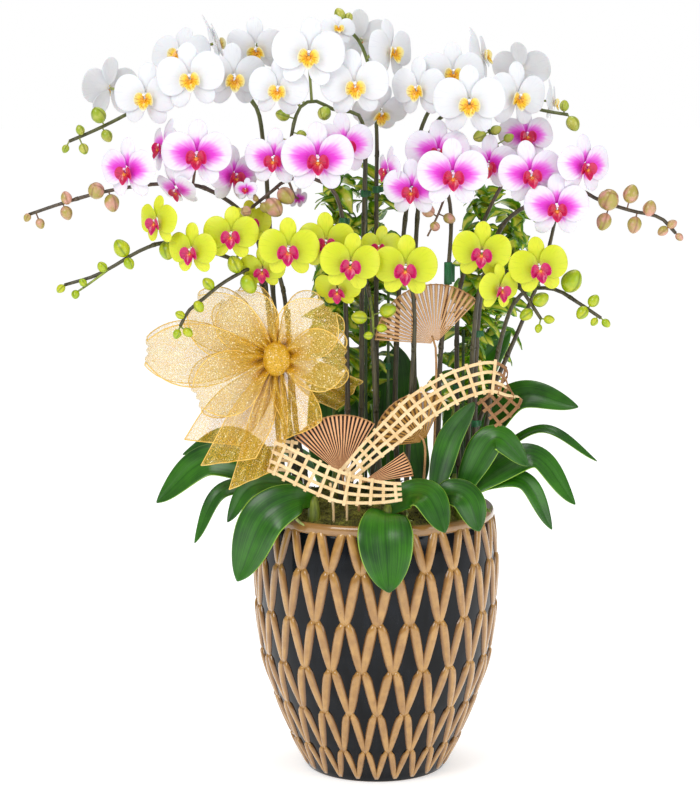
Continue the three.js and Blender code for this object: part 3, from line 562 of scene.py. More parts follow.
class Shade:
    """A material's node tree, built one step at a time round one shader."""

    def __init__(self, name: str, **constants: object) -> None:
        """Starts a material.

        Args:
            name: Name of the material.
            **constants: Shader values that are the same all over, by socket name.
        """
        self.material = bpy.data.materials.new(name)
        self.material.use_nodes = True
        self.tree = self.material.node_tree
        self.tree.nodes.clear()
        self.shader = self.tree.nodes.new("ShaderNodeBsdfPrincipled")
        out = self.tree.nodes.new("ShaderNodeOutputMaterial")
        self.tree.links.new(self.shader.outputs[0], out.inputs[0])
        for key, value in constants.items():
            self.feed(key.replace("_", " "), value)

    def feed(self, socket: str, value: object) -> None:
        """Gives one of the shader's sockets a value or a link."""
        self.join(self.shader.inputs[socket], value)

    def join(self, socket: Socket, value: object) -> None:
        """Links a socket or sets its value."""
        if isinstance(value, Socket):
            self.tree.links.new(value, socket)
        else:
            socket.default_value = value

    def node(self, kind: str, inputs: dict, **settings: object) -> bpy.types.Node:
        """Adds a node.

        Args:
            kind: The node's type without its common start.
            inputs: Values or links by socket name or number.
            **settings: The node's own settings.

        Returns:
            The node.
        """
        made = self.tree.nodes.new(f"ShaderNode{kind}")
        for key, value in settings.items():
            setattr(made, key, value)
        for key, value in inputs.items():
            self.join(made.inputs[key], value)
        return made

    def place(self) -> Socket:
        """Returns the place on the object."""
        return self.node("TexCoord", {}).outputs["Object"]

    def cloth(self) -> Socket:
        """Returns the place on the piece's own map."""
        return self.node("TexCoord", {}).outputs["UV"]

    def axes(self, vector: Socket) -> tuple[Socket, Socket, Socket]:
        """Splits a vector into its three numbers."""
        return tuple(self.node("SeparateXYZ", {0: vector}).outputs)

    def scaled(self, vector: Socket, size: tuple[float, float, float]) -> Socket:
        """Stretches a vector by a factor on each axis."""
        return self.node("Mapping", {"Vector": vector, "Scale": size}).outputs[0]

    def maths(self, operation: str, first: object, second: object = 0.0) -> Socket:
        """Works out one number from one or two others."""
        return self.node("Math", {0: first, 1: second}, operation=operation).outputs[0]

    def noise(self, vector: Socket, scale: float, detail: float = 2, rough: float = 0.5) -> Socket:
        """Returns soft noise from 0 to 1."""
        inputs = {"Vector": vector, "Scale": scale, "Detail": detail, "Roughness": rough}
        return self.node("TexNoise", inputs).outputs[0]

    def cells(self, vector: Socket, scale: float) -> Socket:
        """Returns a random number for each cell of a foam."""
        made = self.node("TexVoronoi", {"Vector": vector, "Scale": scale})
        return self.axes(made.outputs["Color"])[0]

    def ramp(self, factor: Socket, stops: Sequence[tuple[float, Colour]]) -> Socket:
        """Turns a number into a colour.

        Args:
            factor: The number.
            stops: Places from 0 to 1 with their colours, in order.

        Returns:
            The colour.
        """
        made = self.node("ValToRGB", {0: factor})
        while len(made.color_ramp.elements) < len(stops):
            made.color_ramp.elements.new(1)
        for element, (place, colour) in zip(made.color_ramp.elements, stops):
            element.position = place
            element.color = colour
        return made.outputs[0]

    def level(self, factor: Socket, low: float, high: float, start: float = 0, end: float = 1) -> Socket:
        """Maps a number's range from low and high to start and end, held at both ends."""
        inputs = {0: factor, 1: low, 2: high, 3: start, 4: end}
        return self.node("MapRange", inputs).outputs[0]

    def blend(self, factor: object, first: object, second: object, how: str = "MIX") -> Socket:
        """Mixes two colours."""
        inputs = {0: factor, 6: first, 7: second}
        return self.node("Mix", inputs, data_type="RGBA", blend_type=how).outputs[2]

    def tones(self, cloud: Socket, low: float, high: float, first: object, second: object) -> Socket:
        """Turns from one colour to another as a number rises from low to high."""
        return self.blend(self.level(cloud, low, high), first, second)

    def weighed(self, first: Socket, share: float, second: Socket) -> Socket:
        """Mixes two numbers, of which the first one has this share."""
        rest = self.maths("MULTIPLY", second, 1 - share)
        return self.maths("ADD", self.maths("MULTIPLY", first, share), rest)

    def sideways(self, across: Socket, most: float = 2) -> Socket:
        """Returns the distance from the middle line, up to half of most at the sides."""
        away = self.maths("ABSOLUTE", self.maths("SUBTRACT", across, 0.5))
        return self.maths("MULTIPLY", away, most)

    def swing(self, noise: Socket, size: float) -> Socket:
        """Centres soft noise on zero and sizes it."""
        return self.maths("MULTIPLY", self.maths("SUBTRACT", noise, 0.5), size)

    def veined(self, along: float, across: float) -> Socket:
        """Returns noise in long lines on the piece's own map."""
        return self.noise(self.scaled(self.cloth(), (along, across, 1)), 1, 2)

    def marks(self, name: str) -> Socket:
        """Returns the number that the mesh's points carry under a name."""
        return self.node("Attribute", {}, attribute_name=name).outputs["Fac"]

    def relief(self, height: Socket, depth: float, strength: float = 1) -> None:
        """Raises the surface by a height from 0 to 1, to a depth in metres."""
        inputs = {"Height": height, "Distance": depth, "Strength": strength}
        self.feed("Normal", self.node("Bump", inputs).outputs[0])


WHITE = rgb(255, 255, 255)


@dataclass(frozen=True)
class PetalFinish:
    """A petal's colours from its heart to its rim, with streaks along its veins."""

    name: str
    stops: tuple[tuple[float, Colour], ...]
    streak: float
    spread: float
    vein: Colour
    vein_share: float
    lip: tuple[tuple[float, Colour], ...]
    lip_spot: Colour
    callus: Colour
    column: Colour

    def petal(self) -> Material:
        """Makes the petals' material."""
        shade = Shade(f"{self.name}_petal", Roughness=0.42, Subsurface_Weight=0.12, Subsurface_Scale=0.002)
        shade.feed("Sheen Weight", 0.12)
        along, across, _ = shade.axes(shade.cloth())
        rim = shade.sideways(across, self.spread)
        streak = shade.swing(shade.veined(1.2, 26), self.streak)
        cloud = shade.swing(shade.noise(shade.place(), 40, 1), self.streak * 0.6)
        reach = shade.maths("ADD", shade.maths("ADD", along, rim), shade.maths("ADD", streak, cloud))
        colour = shade.ramp(reach, self.stops)
        fine = shade.veined(2.2, 70)
        lines = shade.level(fine, 0.56, 0.66)
        colour = shade.blend(shade.maths("MULTIPLY", lines, self.vein_share), colour, self.vein)
        shade.feed("Base Color", colour)
        shade.relief(fine, 0.0006, 0.5)
        return shade.material

    def lip_material(self) -> Material:
        """Makes the lip's material."""
        shade = Shade(f"{self.name}_lip", Roughness=0.3, Coat_Weight=0.2)
        along = shade.axes(shade.cloth())[0]
        spots = shade.level(shade.veined(2.4, 22), 0.54, 0.6)
        colour = shade.ramp(along, self.lip)
        fade = shade.level(along, 0.35, 0.9, 1, 0)
        colour = shade.blend(shade.maths("MULTIPLY", spots, fade), colour, self.lip_spot)
        shade.feed("Base Color", colour)
        shade.relief(shade.noise(shade.place(), 400, 2), 0.0003, 0.4)
        return shade.material

    def callus_material(self) -> Material:
        """Makes the material of the small crest on the lip."""
        shade = Shade(f"{self.name}_callus", Roughness=0.35)
        spots = shade.noise(shade.place(), 900, 2)
        shade.feed("Base Color", shade.tones(spots, 0.52, 0.62, self.callus, self.lip_spot))
        return shade.material

    def column_material(self) -> Material:
        """Makes the column's material."""
        shade = Shade(f"{self.name}_column", Roughness=0.35, Coat_Weight=0.2)
        cloud = shade.noise(shade.place(), 250, 2)
        shade.feed("Base Color", shade.tones(cloud, 0.4, 0.7, self.column, WHITE))
        return shade.material


WHITE_PETALS = PetalFinish(
    name="white",
    stops=(
        (0.0, rgb(222, 220, 176)),
        (0.16, rgb(222, 222, 220)),
        (0.4, rgb(220, 222, 226)),
        (1.0, rgb(225, 228, 232)),
    ),
    streak=0.16,
    spread=0.3,
    vein=rgb(200, 204, 214),
    vein_share=0.35,
    lip=(
        (0.0, rgb(224, 120, 20)),
        (0.25, rgb(240, 176, 20)),
        (0.5, rgb(246, 208, 44)),
        (0.7, rgb(238, 226, 150)),
        (0.9, rgb(230, 230, 228)),
    ),
    lip_spot=rgb(176, 74, 14),
    callus=rgb(236, 170, 40),
    column=rgb(226, 220, 226),
)
PINK_PETALS = PetalFinish(
    name="pink",
    stops=(
        (0.0, rgb(170, 6, 120)),
        (0.26, rgb(212, 16, 180)),
        (0.5, rgb(220, 50, 204)),
        (0.66, rgb(224, 134, 220)),
        (0.8, rgb(226, 212, 230)),
        (1.0, rgb(226, 224, 233)),
    ),
    streak=0.34,
    spread=1.0,
    vein=rgb(204, 90, 200),
    vein_share=0.16,
    lip=(
        (0.0, rgb(232, 130, 40)),
        (0.26, rgb(206, 50, 50)),
        (0.45, rgb(196, 10, 70)),
        (1.0, rgb(204, 16, 100)),
    ),
    lip_spot=rgb(140, 4, 50),
    callus=rgb(236, 150, 50),
    column=rgb(226, 170, 210),
)
YELLOW_PETALS = PetalFinish(
    name="yellow",
    stops=(
        (0.0, rgb(222, 170, 170)),
        (0.18, rgb(210, 200, 90)),
        (0.34, rgb(186, 198, 14)),
        (0.75, rgb(200, 210, 14)),
        (1.0, rgb(212, 218, 36)),
    ),
    streak=0.2,
    spread=0.3,
    vein=rgb(176, 192, 14),
    vein_share=0.5,
    lip=(
        (0.0, rgb(236, 140, 50)),
        (0.2, rgb(214, 50, 70)),
        (0.42, rgb(192, 6, 88)),
        (1.0, rgb(204, 14, 108)),
    ),
    lip_spot=rgb(140, 6, 60),
    callus=rgb(240, 160, 40),
    column=rgb(228, 190, 200),
)
PETALS = {Kind.WHITE: WHITE_PETALS, Kind.PINK: PINK_PETALS, Kind.YELLOW: YELLOW_PETALS}


@dataclass(frozen=True)
class StemFinish:
    """A stem's skin: two colours in long clouds, with a third one above a height.

    Attributes:
        name: Name of the material.
        dark: The darker colour.
        light: The lighter one.
        tip: The colour of its upper end.
        turn: Height in metres where it starts to change.
    """

    name: str
    dark: Colour
    light: Colour
    tip: Colour
    turn: float

    def material(self) -> Material:
        """Makes the material."""
        shade = Shade(self.name, Roughness=0.42, Coat_Weight=0.15)
        cloud = shade.noise(shade.scaled(shade.place(), (1, 1, 0.12)), 260, 3)
        spots = shade.noise(shade.place(), 700, 2)
        height = shade.axes(shade.place())[2]
        colour = shade.tones(cloud, 0.35, 0.68, self.dark, self.light)
        colour = shade.blend(shade.level(spots, 0.6, 0.75, 0, 0.4), colour, self.light)
        high = shade.level(height, self.turn, self.turn + 0.07)
        reach = shade.maths("MULTIPLY", high, shade.level(cloud, 0.3, 0.6, 0.6, 1))
        shade.feed("Base Color", shade.blend(reach, colour, self.tip))
        shade.relief(cloud, 0.0005, 0.6)
        return shade.material


@dataclass(frozen=True)
class BudFinish:
    """A bud's skin, darker along its seams."""

    name: str
    skin: Colour
    blush: Colour
    seam: Colour

    def material(self) -> Material:
        """Makes the material."""
        shade = Shade(self.name, Roughness=0.35, Coat_Weight=0.25, Coat_Roughness=0.2)
        colour = shade.tones(shade.noise(shade.place(), 70, 3), 0.42, 0.62, self.skin, self.blush)
        shade.feed("Base Color", shade.blend(shade.marks("seam"), colour, self.seam))
        shade.relief(shade.noise(shade.place(), 500, 2), 0.0003, 0.4)
        return shade.material


BUDS = {
    Kind.WHITE: BudFinish("white_bud", rgb(146, 166, 30), rgb(184, 184, 78), rgb(98, 112, 22)),
    Kind.PINK: BudFinish("pink_bud", rgb(168, 154, 72), rgb(206, 150, 134), rgb(136, 96, 60)),
    Kind.YELLOW: BudFinish("yellow_bud", rgb(152, 178, 4), rgb(186, 192, 26), rgb(100, 122, 8)),
}
SPIKES = {
    Kind.WHITE: StemFinish("white_spike", rgb(46, 42, 24), rgb(86, 80, 48), rgb(104, 118, 48), 0.86),
    Kind.PINK: StemFinish("pink_spike", rgb(46, 40, 26), rgb(84, 74, 50), rgb(96, 76, 64), 0.76),
    Kind.YELLOW: StemFinish("yellow_spike", rgb(46, 42, 26), rgb(84, 78, 46), rgb(70, 68, 38), 0.66),
}
STALKS = {
    Kind.WHITE: StemFinish("white_stalk", rgb(110, 124, 50), rgb(160, 170, 96), rgb(140, 150, 70), 0.9),
    Kind.PINK: StemFinish("pink_stalk", rgb(92, 70, 54), rgb(136, 108, 88), rgb(120, 96, 76), 0.8),
    Kind.YELLOW: StemFinish("yellow_stalk", rgb(92, 106, 34), rgb(146, 162, 56), rgb(120, 140, 44), 0.7),
}


@dataclass(frozen=True)
class LeafFinish:
    """A glossy leaf: two greens, a midrib, long fine veins and a thin pale margin."""

    name: str
    deep: Colour
    bright: Colour
    margin: Colour
    gloss: float

    def material(self) -> Material:
        """Makes the material."""
        shade = Shade(self.name, Roughness=self.gloss, Coat_Weight=0.16, Coat_Roughness=0.2)
        edge = shade.sideways(shade.axes(shade.cloth())[1])
        veins = shade.veined(1.2, 34)
        mix = shade.weighed(veins, 0.5, shade.noise(shade.place(), 22, 3))
        colour = shade.tones(mix, 0.36, 0.64, self.deep, self.bright)
        colour = shade.blend(shade.level(edge, 0.0, 0.05, 0.55, 0), colour, self.deep)
        shade.feed("Base Color", shade.tones(edge, 0.94, 0.975, colour, self.margin))
        shade.relief(veins, 0.0006, 0.35)
        return shade.material


ORCHID_LEAF = LeafFinish("orchid_leaf", rgb(8, 60, 0), rgb(50, 116, 0), rgb(150, 192, 60), 0.36)


@dataclass(frozen=True)
class FillerFinish:
    """A variegated leaf: green with cream and lime blotches along its midrib."""

    name: str
    green: Colour
    lime: Colour
    cream: Colour

    def material(self) -> Material:
        """Makes the material."""
        shade = Shade(self.name, Roughness=0.28, Coat_Weight=0.3)
        edge = shade.sideways(shade.axes(shade.cloth())[1])
        blotch = shade.maths("ADD", shade.noise(shade.place(), 60, 3), 0.22)
        rib = shade.maths("SUBTRACT", blotch, shade.maths("MULTIPLY", edge, 0.5))
        stops = ((0.3, self.green), (0.4, self.green), (0.48, self.lime), (0.66, self.cream))
        shade.feed("Base Color", shade.ramp(rib, stops))
        shade.relief(shade.noise(shade.place(), 240, 2), 0.0008, 0.5)
        return shade.material


FILLER_LEAF = FillerFinish("filler_leaf", rgb(84, 138, 8), rgb(160, 190, 18), rgb(214, 214, 80))


@dataclass(frozen=True)
class LitterFinish:
    """Moss or bark: three colours in fine clumps with a rough surface."""

    name: str
    dark: Colour
    middle: Colour
    light: Colour
    scale: float

    def material(self) -> Material:
        """Makes the material."""
        shade = Shade(self.name, Roughness=0.9)
        fine = shade.noise(shade.place(), self.scale, 4, 0.7)
        patch = shade.noise(shade.place(), self.scale / 9, 2)
        mix = shade.weighed(fine, 0.6, patch)
        stops = ((0.38, self.dark), (0.5, self.middle), (0.62, self.light))
        shade.feed("Base Color", shade.ramp(mix, stops))
        shade.relief(fine, 0.003, 0.9)
        return shade.material


MOSS = LitterFinish("moss", rgb(48, 44, 16), rgb(96, 94, 30), rgb(150, 150, 54), 420)
BARK = LitterFinish("bark", rgb(40, 26, 16), rgb(84, 56, 34), rgb(124, 92, 60), 160)


@dataclass(frozen=True)
class DarkGlaze:
    """The dark glossy glaze of the pot's recessed diamonds."""

    deep: Colour = rgb(5, 7, 10)
    bloom: Colour = rgb(18, 22, 28)

    def material(self) -> Material:
        """Makes the material."""
        shade = Shade("dark_glaze", Roughness=0.1, Specular_IOR_Level=0.22)
        cloud = shade.noise(shade.place(), 26, 4)
        streak = shade.noise(shade.scaled(shade.place(), (1, 1, 0.2)), 120, 2)
        mix = shade.maths("MULTIPLY", shade.maths("ADD", cloud, streak), 0.5)
        shade.feed("Base Color", shade.tones(mix, 0.42, 0.66, self.deep, self.bloom))
        shade.feed("Roughness", shade.level(cloud, 0.3, 0.7, 0.06, 0.14))
        shade.relief(cloud, 0.0012, 0.3)
        return shade.material


@dataclass(frozen=True)
class TanGlaze:
    """The caramel glaze of the raised straps: paler on the crest and browner at the sides, partly where the
    glaze thins and partly as painted shade where the rounded sides turn from the light.
    """

    crest: Colour = rgb(186, 140, 70)
    body: Colour = rgb(158, 112, 48)
    brown_speck_and_side_shade: Colour = rgb(96, 56, 26)

    def material(self) -> Material:
        """Makes the material."""
        shade = Shade("tan_glaze", Roughness=0.3, Coat_Weight=1.0, Coat_Roughness=0.05)
        cloud = shade.noise(shade.place(), 60, 3)
        speck = shade.noise(shade.place(), 480, 2)
        warm = shade.tones(cloud, 0.35, 0.65, self.body, self.crest)
        warm = shade.blend(shade.level(speck, 0.6, 0.7, 0, 0.35), warm, self.brown_speck_and_side_shade)
        # Painted shade in part: the side mark turns each strap browner towards its sides; the brown specks
        # above are the glaze's own.
        reach = shade.maths("ADD", shade.marks("side"), shade.swing(cloud, 0.35))
        shade.feed("Base Color", shade.tones(reach, 0.5, 1.05, warm, self.brown_speck_and_side_shade))
        shade.relief(shade.noise(shade.place(), 130, 3), 0.0008, 0.4)
        return shade.material


@dataclass(frozen=True)
class RibbonFinish:
    """Open gold net with glitter whose flakes are painted near white as glints: the map runs in metres
    across and along.
    """

    name: str = "gold_net"
    thread: Colour = rgb(218, 186, 78)
    deep: Colour = rgb(222, 172, 32)
    glitter_painted_glint: Colour = rgb(255, 246, 206)

    def material(self) -> Material:
        """Makes the material."""
        shade = Shade(self.name, Roughness=0.42, Specular_IOR_Level=0.6)
        cloth = shade.cloth()
        gather = shade.marks("gather")
        spark = shade.cells(cloth, 900)
        grain = shade.noise(cloth, 520, 2, 0.7)
        mesh = shade.node("TexVoronoi", {"Vector": cloth, "Scale": 230}, feature="DISTANCE_TO_EDGE")
        colour = shade.tones(shade.noise(cloth, 60, 3), 0.4, 0.75, self.thread, self.deep)
        colour = shade.blend(gather, colour, self.deep)
        # Painted glints: random cells are glitter flakes, made nearly opaque and painted near white to
        # stand for their sparkle.
        glitter_and_painted_glints = shade.level(spark, 0.95, 0.96)
        shade.feed("Base Color", shade.blend(glitter_and_painted_glints, colour, self.glitter_painted_glint))
        cover = shade.level(grain, 0.43, 0.62, 0.04, 0.62)
        cover = shade.maths("MAXIMUM", cover, shade.level(mesh.outputs[0], 0.0, 0.07, 0.7, 0))
        cover = shade.maths("ADD", cover, shade.maths("MULTIPLY", gather, 0.4))
        cover = shade.maths("MAXIMUM", cover, shade.maths("MULTIPLY", glitter_and_painted_glints, 0.9))
        shade.feed("Alpha", shade.maths("MINIMUM", cover, 1.0))
        shade.relief(grain, 0.0006, 0.6)
        return shade.material


@dataclass(frozen=True)
class StrawFinish:
    """Dry straw, bamboo or wire: fine grain in two tones."""

    name: str
    light: Colour
    dark: Colour
    rough: float = 0.6
    metal: float = 0.0

    def material(self) -> Material:
        """Makes the material."""
        shade = Shade(self.name, Roughness=self.rough, Metallic=self.metal)
        grain = shade.noise(shade.place(), 420, 3)
        mix = shade.weighed(grain, 0.45, shade.noise(shade.place(), 45, 2))
        shade.feed("Base Color", shade.tones(mix, 0.38, 0.64, self.dark, self.light))
        shade.relief(grain, 0.0004, 0.5)
        return shade.material


@dataclass(frozen=True)
class FanFinish:
    """A pleated blade: pale ribs and painted shade in the valleys between them, by an attribute, with a
    fine grain.
    """

    name: str
    rib: Colour
    skin: Colour
    valley_painted_shade: Colour
    cover: float = 1.0

    def material(self) -> Material:
        """Makes the material."""
        shade = Shade(self.name, Roughness=0.55)
        fold = shade.marks("fold")
        grain = shade.veined(3, 90)
        skin = shade.tones(grain, 0.4, 0.65, self.skin, self.rib)
        # Painted shade: the valleys between the ribs take a darker colour; where cover is below one they
        # are also partly see-through.
        colour = shade.tones(fold, 0.42, 0.66, self.valley_painted_shade, skin)
        shade.feed("Base Color", shade.tones(fold, 0.7, 0.9, colour, self.rib))
        if self.cover < 1:
            shade.feed("Alpha", shade.level(fold, 0.3, 0.5, self.cover, 1))
        shade.relief(grain, 0.0005, 0.5)
        return shade.material


BAMBOO = StrawFinish("bamboo", rgb(240, 214, 168), rgb(222, 188, 134))
# A darker copy of the bamboo: painted shade for the part of each band that turns back behind the arch.
BAMBOO_PAINTED_SHADE = StrawFinish("bamboo_inner", rgb(176, 130, 84), rgb(128, 86, 50))
GOLD_WIRE = StrawFinish("gold_wire", rgb(248, 216, 124), rgb(238, 190, 78), 0.35, 0.1)
FAN_STICK = StrawFinish("fan_stick", rgb(208, 164, 108), rgb(160, 112, 66))
# The third colour of each fan is painted shade for the valleys between its ribs.
PALE_FAN = FanFinish("pale_fan", rgb(228, 184, 132), rgb(196, 140, 90), rgb(168, 112, 70), 0.25)
RED_FAN = FanFinish("red_fan", rgb(240, 184, 132), rgb(196, 124, 78), rgb(16, 8, 4), 0.8)
GOLD_FAN = FanFinish("gold_fan", rgb(190, 142, 60), rgb(150, 106, 36), rgb(110, 74, 24), 0.6)


@dataclass(frozen=True)
class PlasticFinish:
    """Coated rod or clip: a plain moulded colour, slightly uneven."""

    name: str
    colour: Colour
    worn: Colour

    def material(self) -> Material:
        """Makes the material."""
        shade = Shade(self.name, Roughness=0.4, Coat_Weight=0.1)
        cloud = shade.noise(shade.scaled(shade.place(), (1, 1, 0.3)), 180, 3)
        shade.feed("Base Color", shade.tones(cloud, 0.4, 0.7, self.colour, self.worn))
        shade.relief(cloud, 0.0004, 0.4)
        return shade.material


ROD_COAT = PlasticFinish("rod_coat", rgb(38, 62, 30), rgb(66, 92, 44))
CLIP_COAT = PlasticFinish("clip_coat", rgb(16, 84, 44), rgb(40, 120, 70))


def facing(yaw: float, pitch: float, roll: float) -> Matrix:
    """Returns a bloom's turn in degrees: to the right from the front, up, and clockwise."""
    return spun(yaw) @ spun(90 - pitch, "X") @ spun(-roll)


@dataclass(frozen=True)
class TepalForm:
    """Form of one petal or sepal, in shares of the bloom's width.

    Attributes:
        middle: Distance of its centre from the heart.
        reach: Half its length.
        half: Half its width.
        fade: How much sooner its colours change on the way out.
        neck: How much narrower it is towards the heart.
        seat: How far in front of the heart it stands.
        dome: How far its middle stands forward.
        back: How far its tip bends back.
        ripple: Depth of the waves along its sides.
        cells: Cells each way.
    """

    middle: float
    reach: float
    half: float
    fade: float
    neck: float
    seat: float
    dome: float
    back: float
    ripple: float
    cells: int


PETAL = TepalForm(0.255, 0.24, 0.285, 1.0, 0.1, 0.026, 0.03, 0.05, 0.012, 9)
SEPAL = TepalForm(0.27, 0.23, 0.155, 1.5, 0.5, -0.012, 0.02, 0.05, 0.004, 7)
LOWER_SEPAL = TepalForm(0.25, 0.215, 0.15, 1.5, 0.5, -0.014, 0.02, 0.06, 0.004, 7)


class FlowerSkins:
    """The four materials of one kind of flower."""

    def __init__(self, finish: PetalFinish) -> None:
        """Makes the materials of a finish."""
        self.petal = finish.petal()
        self.lip = finish.lip_material()
        self.callus = finish.callus_material()
        self.column = finish.column_material()


@dataclass
class Bloom:
    """One moth orchid flower, one unit across, that looks along +Z.

    Attributes:
        skins: Its materials.
        seed: Seed of its small irregularities.
        grown: Size of its lip, of the common one.
        thickness: Thickness of its petals.
    """

    skins: FlowerSkins
    seed: int
    grown: float = 1.15
    thickness: float = 0.009

    def tepal(self, form: TepalForm, turn: float, hand: float, draw: Draw) -> Object:
        """Shapes one petal or sepal.

        Args:
            form: Its form.
            turn: Its direction in degrees, counter-clockwise from the right.
            hand: 1 or -1 where its upper side is the fuller one, or 0.
            draw: Source of its irregularities.

        Returns:
            The closed piece.
        """
        made = flat_grid("tepal", form.cells, form.cells)
        size = 1 + 0.03 * draw.uniform(-1, 1)
        phase = draw.uniform(0, 2 * math.pi)
        bend = form.back * draw.uniform(0.4, 1.4)

        def rule(flat: np.ndarray) -> np.ndarray:
            """Shapes the grid into the tepal, along +X."""
            out, side = rounded(flat)
            near = np.clip(0.5 - 0.5 * out, 0, 1)
            x = form.middle + form.reach * size * out
            y = form.half * side * (1 - form.neck * near**2) + 0.03 * hand
            round_it = np.hypot(out, side)
            wave = np.sin(4 * np.arctan2(side, out) + phase) * round_it**3
            crease = -0.012 * np.exp(-((side / 0.1) ** 2)) * near
            z = form.seat + form.dome * (1 - round_it**2) - bend * (0.5 + 0.5 * out) ** 2
            return np.stack([x, y, z + form.ripple * wave + crease], -1)

        reshape(made, rule)
        softened(thickened(made, self.thickness))

        def polar(places: np.ndarray) -> np.ndarray:
            """Maps the tepal by its distance and direction from the heart."""
            away = 2 * form.fade * np.hypot(places[:, 0], places[:, 1])
            return np.stack([away, 0.5 + np.arctan2(places[:, 1], places[:, 0]) / math.pi], -1)

        mapped(made, polar)
        made.data.transform(spun(turn + 3 * draw.uniform(-1, 1)))
        return painted(smoothed(made), self.skins.petal)

    def lobe(
        self,
        middle: tuple[float, float, float],
        half: tuple[float, float],
        lean: tuple[float, float, float],
        cup: float,
        point: float,
    ) -> Object:
        """Shapes one lobe of the lip.

        Args:
            middle: Its centre.
            half: Half its width and half its height.
            lean: Its turns round the three axes in degrees.
            cup: How far its rim stands forward.
            point: How much its lower end narrows.

        Returns:
            The closed piece.
        """
        made = flat_grid("lobe", 6, 6)

        def rule(flat: np.ndarray) -> np.ndarray:
            """Shapes the grid into a small cup."""
            x, y = rounded(flat)
            low = np.clip(-y, 0, 1)
            return np.stack([half[0] * x * (1 - point * low), half[1] * y, cup * (x**2 + 0.4 * y**2)], -1)

        reshape(made, rule)
        softened(thickened(made, 1.3 * self.thickness))
        turns = spun(lean[2]) @ spun(lean[1], "Y") @ spun(lean[0], "X")
        made.data.transform(Matrix.Translation(middle) @ turns)
        made.data.transform(Matrix.Diagonal((self.grown, self.grown, self.grown, 1)))
        heart = np.array([0, -0.05]) * self.grown

        def polar(places: np.ndarray) -> np.ndarray:
            """Maps the lobe by its distance and direction from the lip's throat."""
            gap = places[:, :2] - heart
            away = np.hypot(gap[:, 0], gap[:, 1]) / (0.16 * self.grown)
            return np.stack([away, np.arctan2(gap[:, 0], -gap[:, 1]) / math.pi], -1)

        mapped(made, polar)
        return painted(smoothed(made), self.skins.lip)

    def ball(self, size: tuple[float, float, float], at: tuple[float, float, float], lean: float) -> Object:
        """Shapes a small rounded part of the heart.

        Args:
            size: Half its size on each axis.
            at: Its place.
            lean: Its tilt in degrees.

        Returns:
            The closed piece.
        """
        made = primitive(Start.BALL, "ball", segments=12, ring_count=8, radius=1)
        made.data.transform(Matrix.Translation(at) @ spun(lean, "X") @ Matrix.Diagonal((*size, 1)))
        return smoothed(made)

    def model(self) -> Object:
        """Models the whole flower as a pattern to copy."""
        draw = np.random.default_rng(self.seed)
        parts = [
            self.tepal(SEPAL, 90, 0, draw),
            self.tepal(LOWER_SEPAL, -54, 0, draw),
            self.tepal(LOWER_SEPAL, -126, 0, draw),
            self.tepal(PETAL, 2, 1, draw),
            self.tepal(PETAL, 178, -1, draw),
            self.lobe((0, -0.125, 0.1), (0.07, 0.085), (-22, 0, 0), 0.03, 0.55),
        ]
        for side in (-1, 1):
            middle, lean = (0.082 * side, -0.035, 0.085), (6, -30 * side, 12 * side)
            parts.append(self.lobe(middle, (0.066, 0.088), lean, 0.026, 0.25))
        parts.append(painted(self.ball((0.026, 0.028, 0.022), (0, -0.066, 0.11), 0), self.skins.callus))
        parts.append(painted(self.ball((0.022, 0.022, 0.055), (0, 0.006, 0.06), -20), self.skins.column))
        parts.append(painted(self.ball((0.024, 0.021, 0.018), (0, 0.018, 0.112), -20), self.skins.column))
        return joined("flower_pattern", parts)


@dataclass
class Bud:
    """A closed bud that points along +Z, one unit across, drawn in at its foot."""

    skin: Material

    def model(self) -> Object:
        """Models the bud with its seams as a pattern to copy."""
        made = primitive(Start.BALL, "bud", segments=24, ring_count=12, radius=0.5)
        turn = np.arctan2(places_of(made)[:, 1], places_of(made)[:, 0])
        seam = np.clip(np.cos(3 * turn) * 6 - 5, 0, 1)

        def rule(ball: np.ndarray) -> np.ndarray:
            """Draws the ball out to a point and sinks its seams."""
            rise = ball[:, 2] / 0.5
            full = 1 - 0.1 * rise - 0.06 * seam * (1 - rise**2)
            height = 0.54 * rise + 0.07 * rise**3
            return np.stack([ball[:, 0] * full, ball[:, 1] * full, height], -1)

        reshape(made, rule)
        marked(made, "seam", 0.8 * seam)
        return painted(smoothed(made), self.skin)


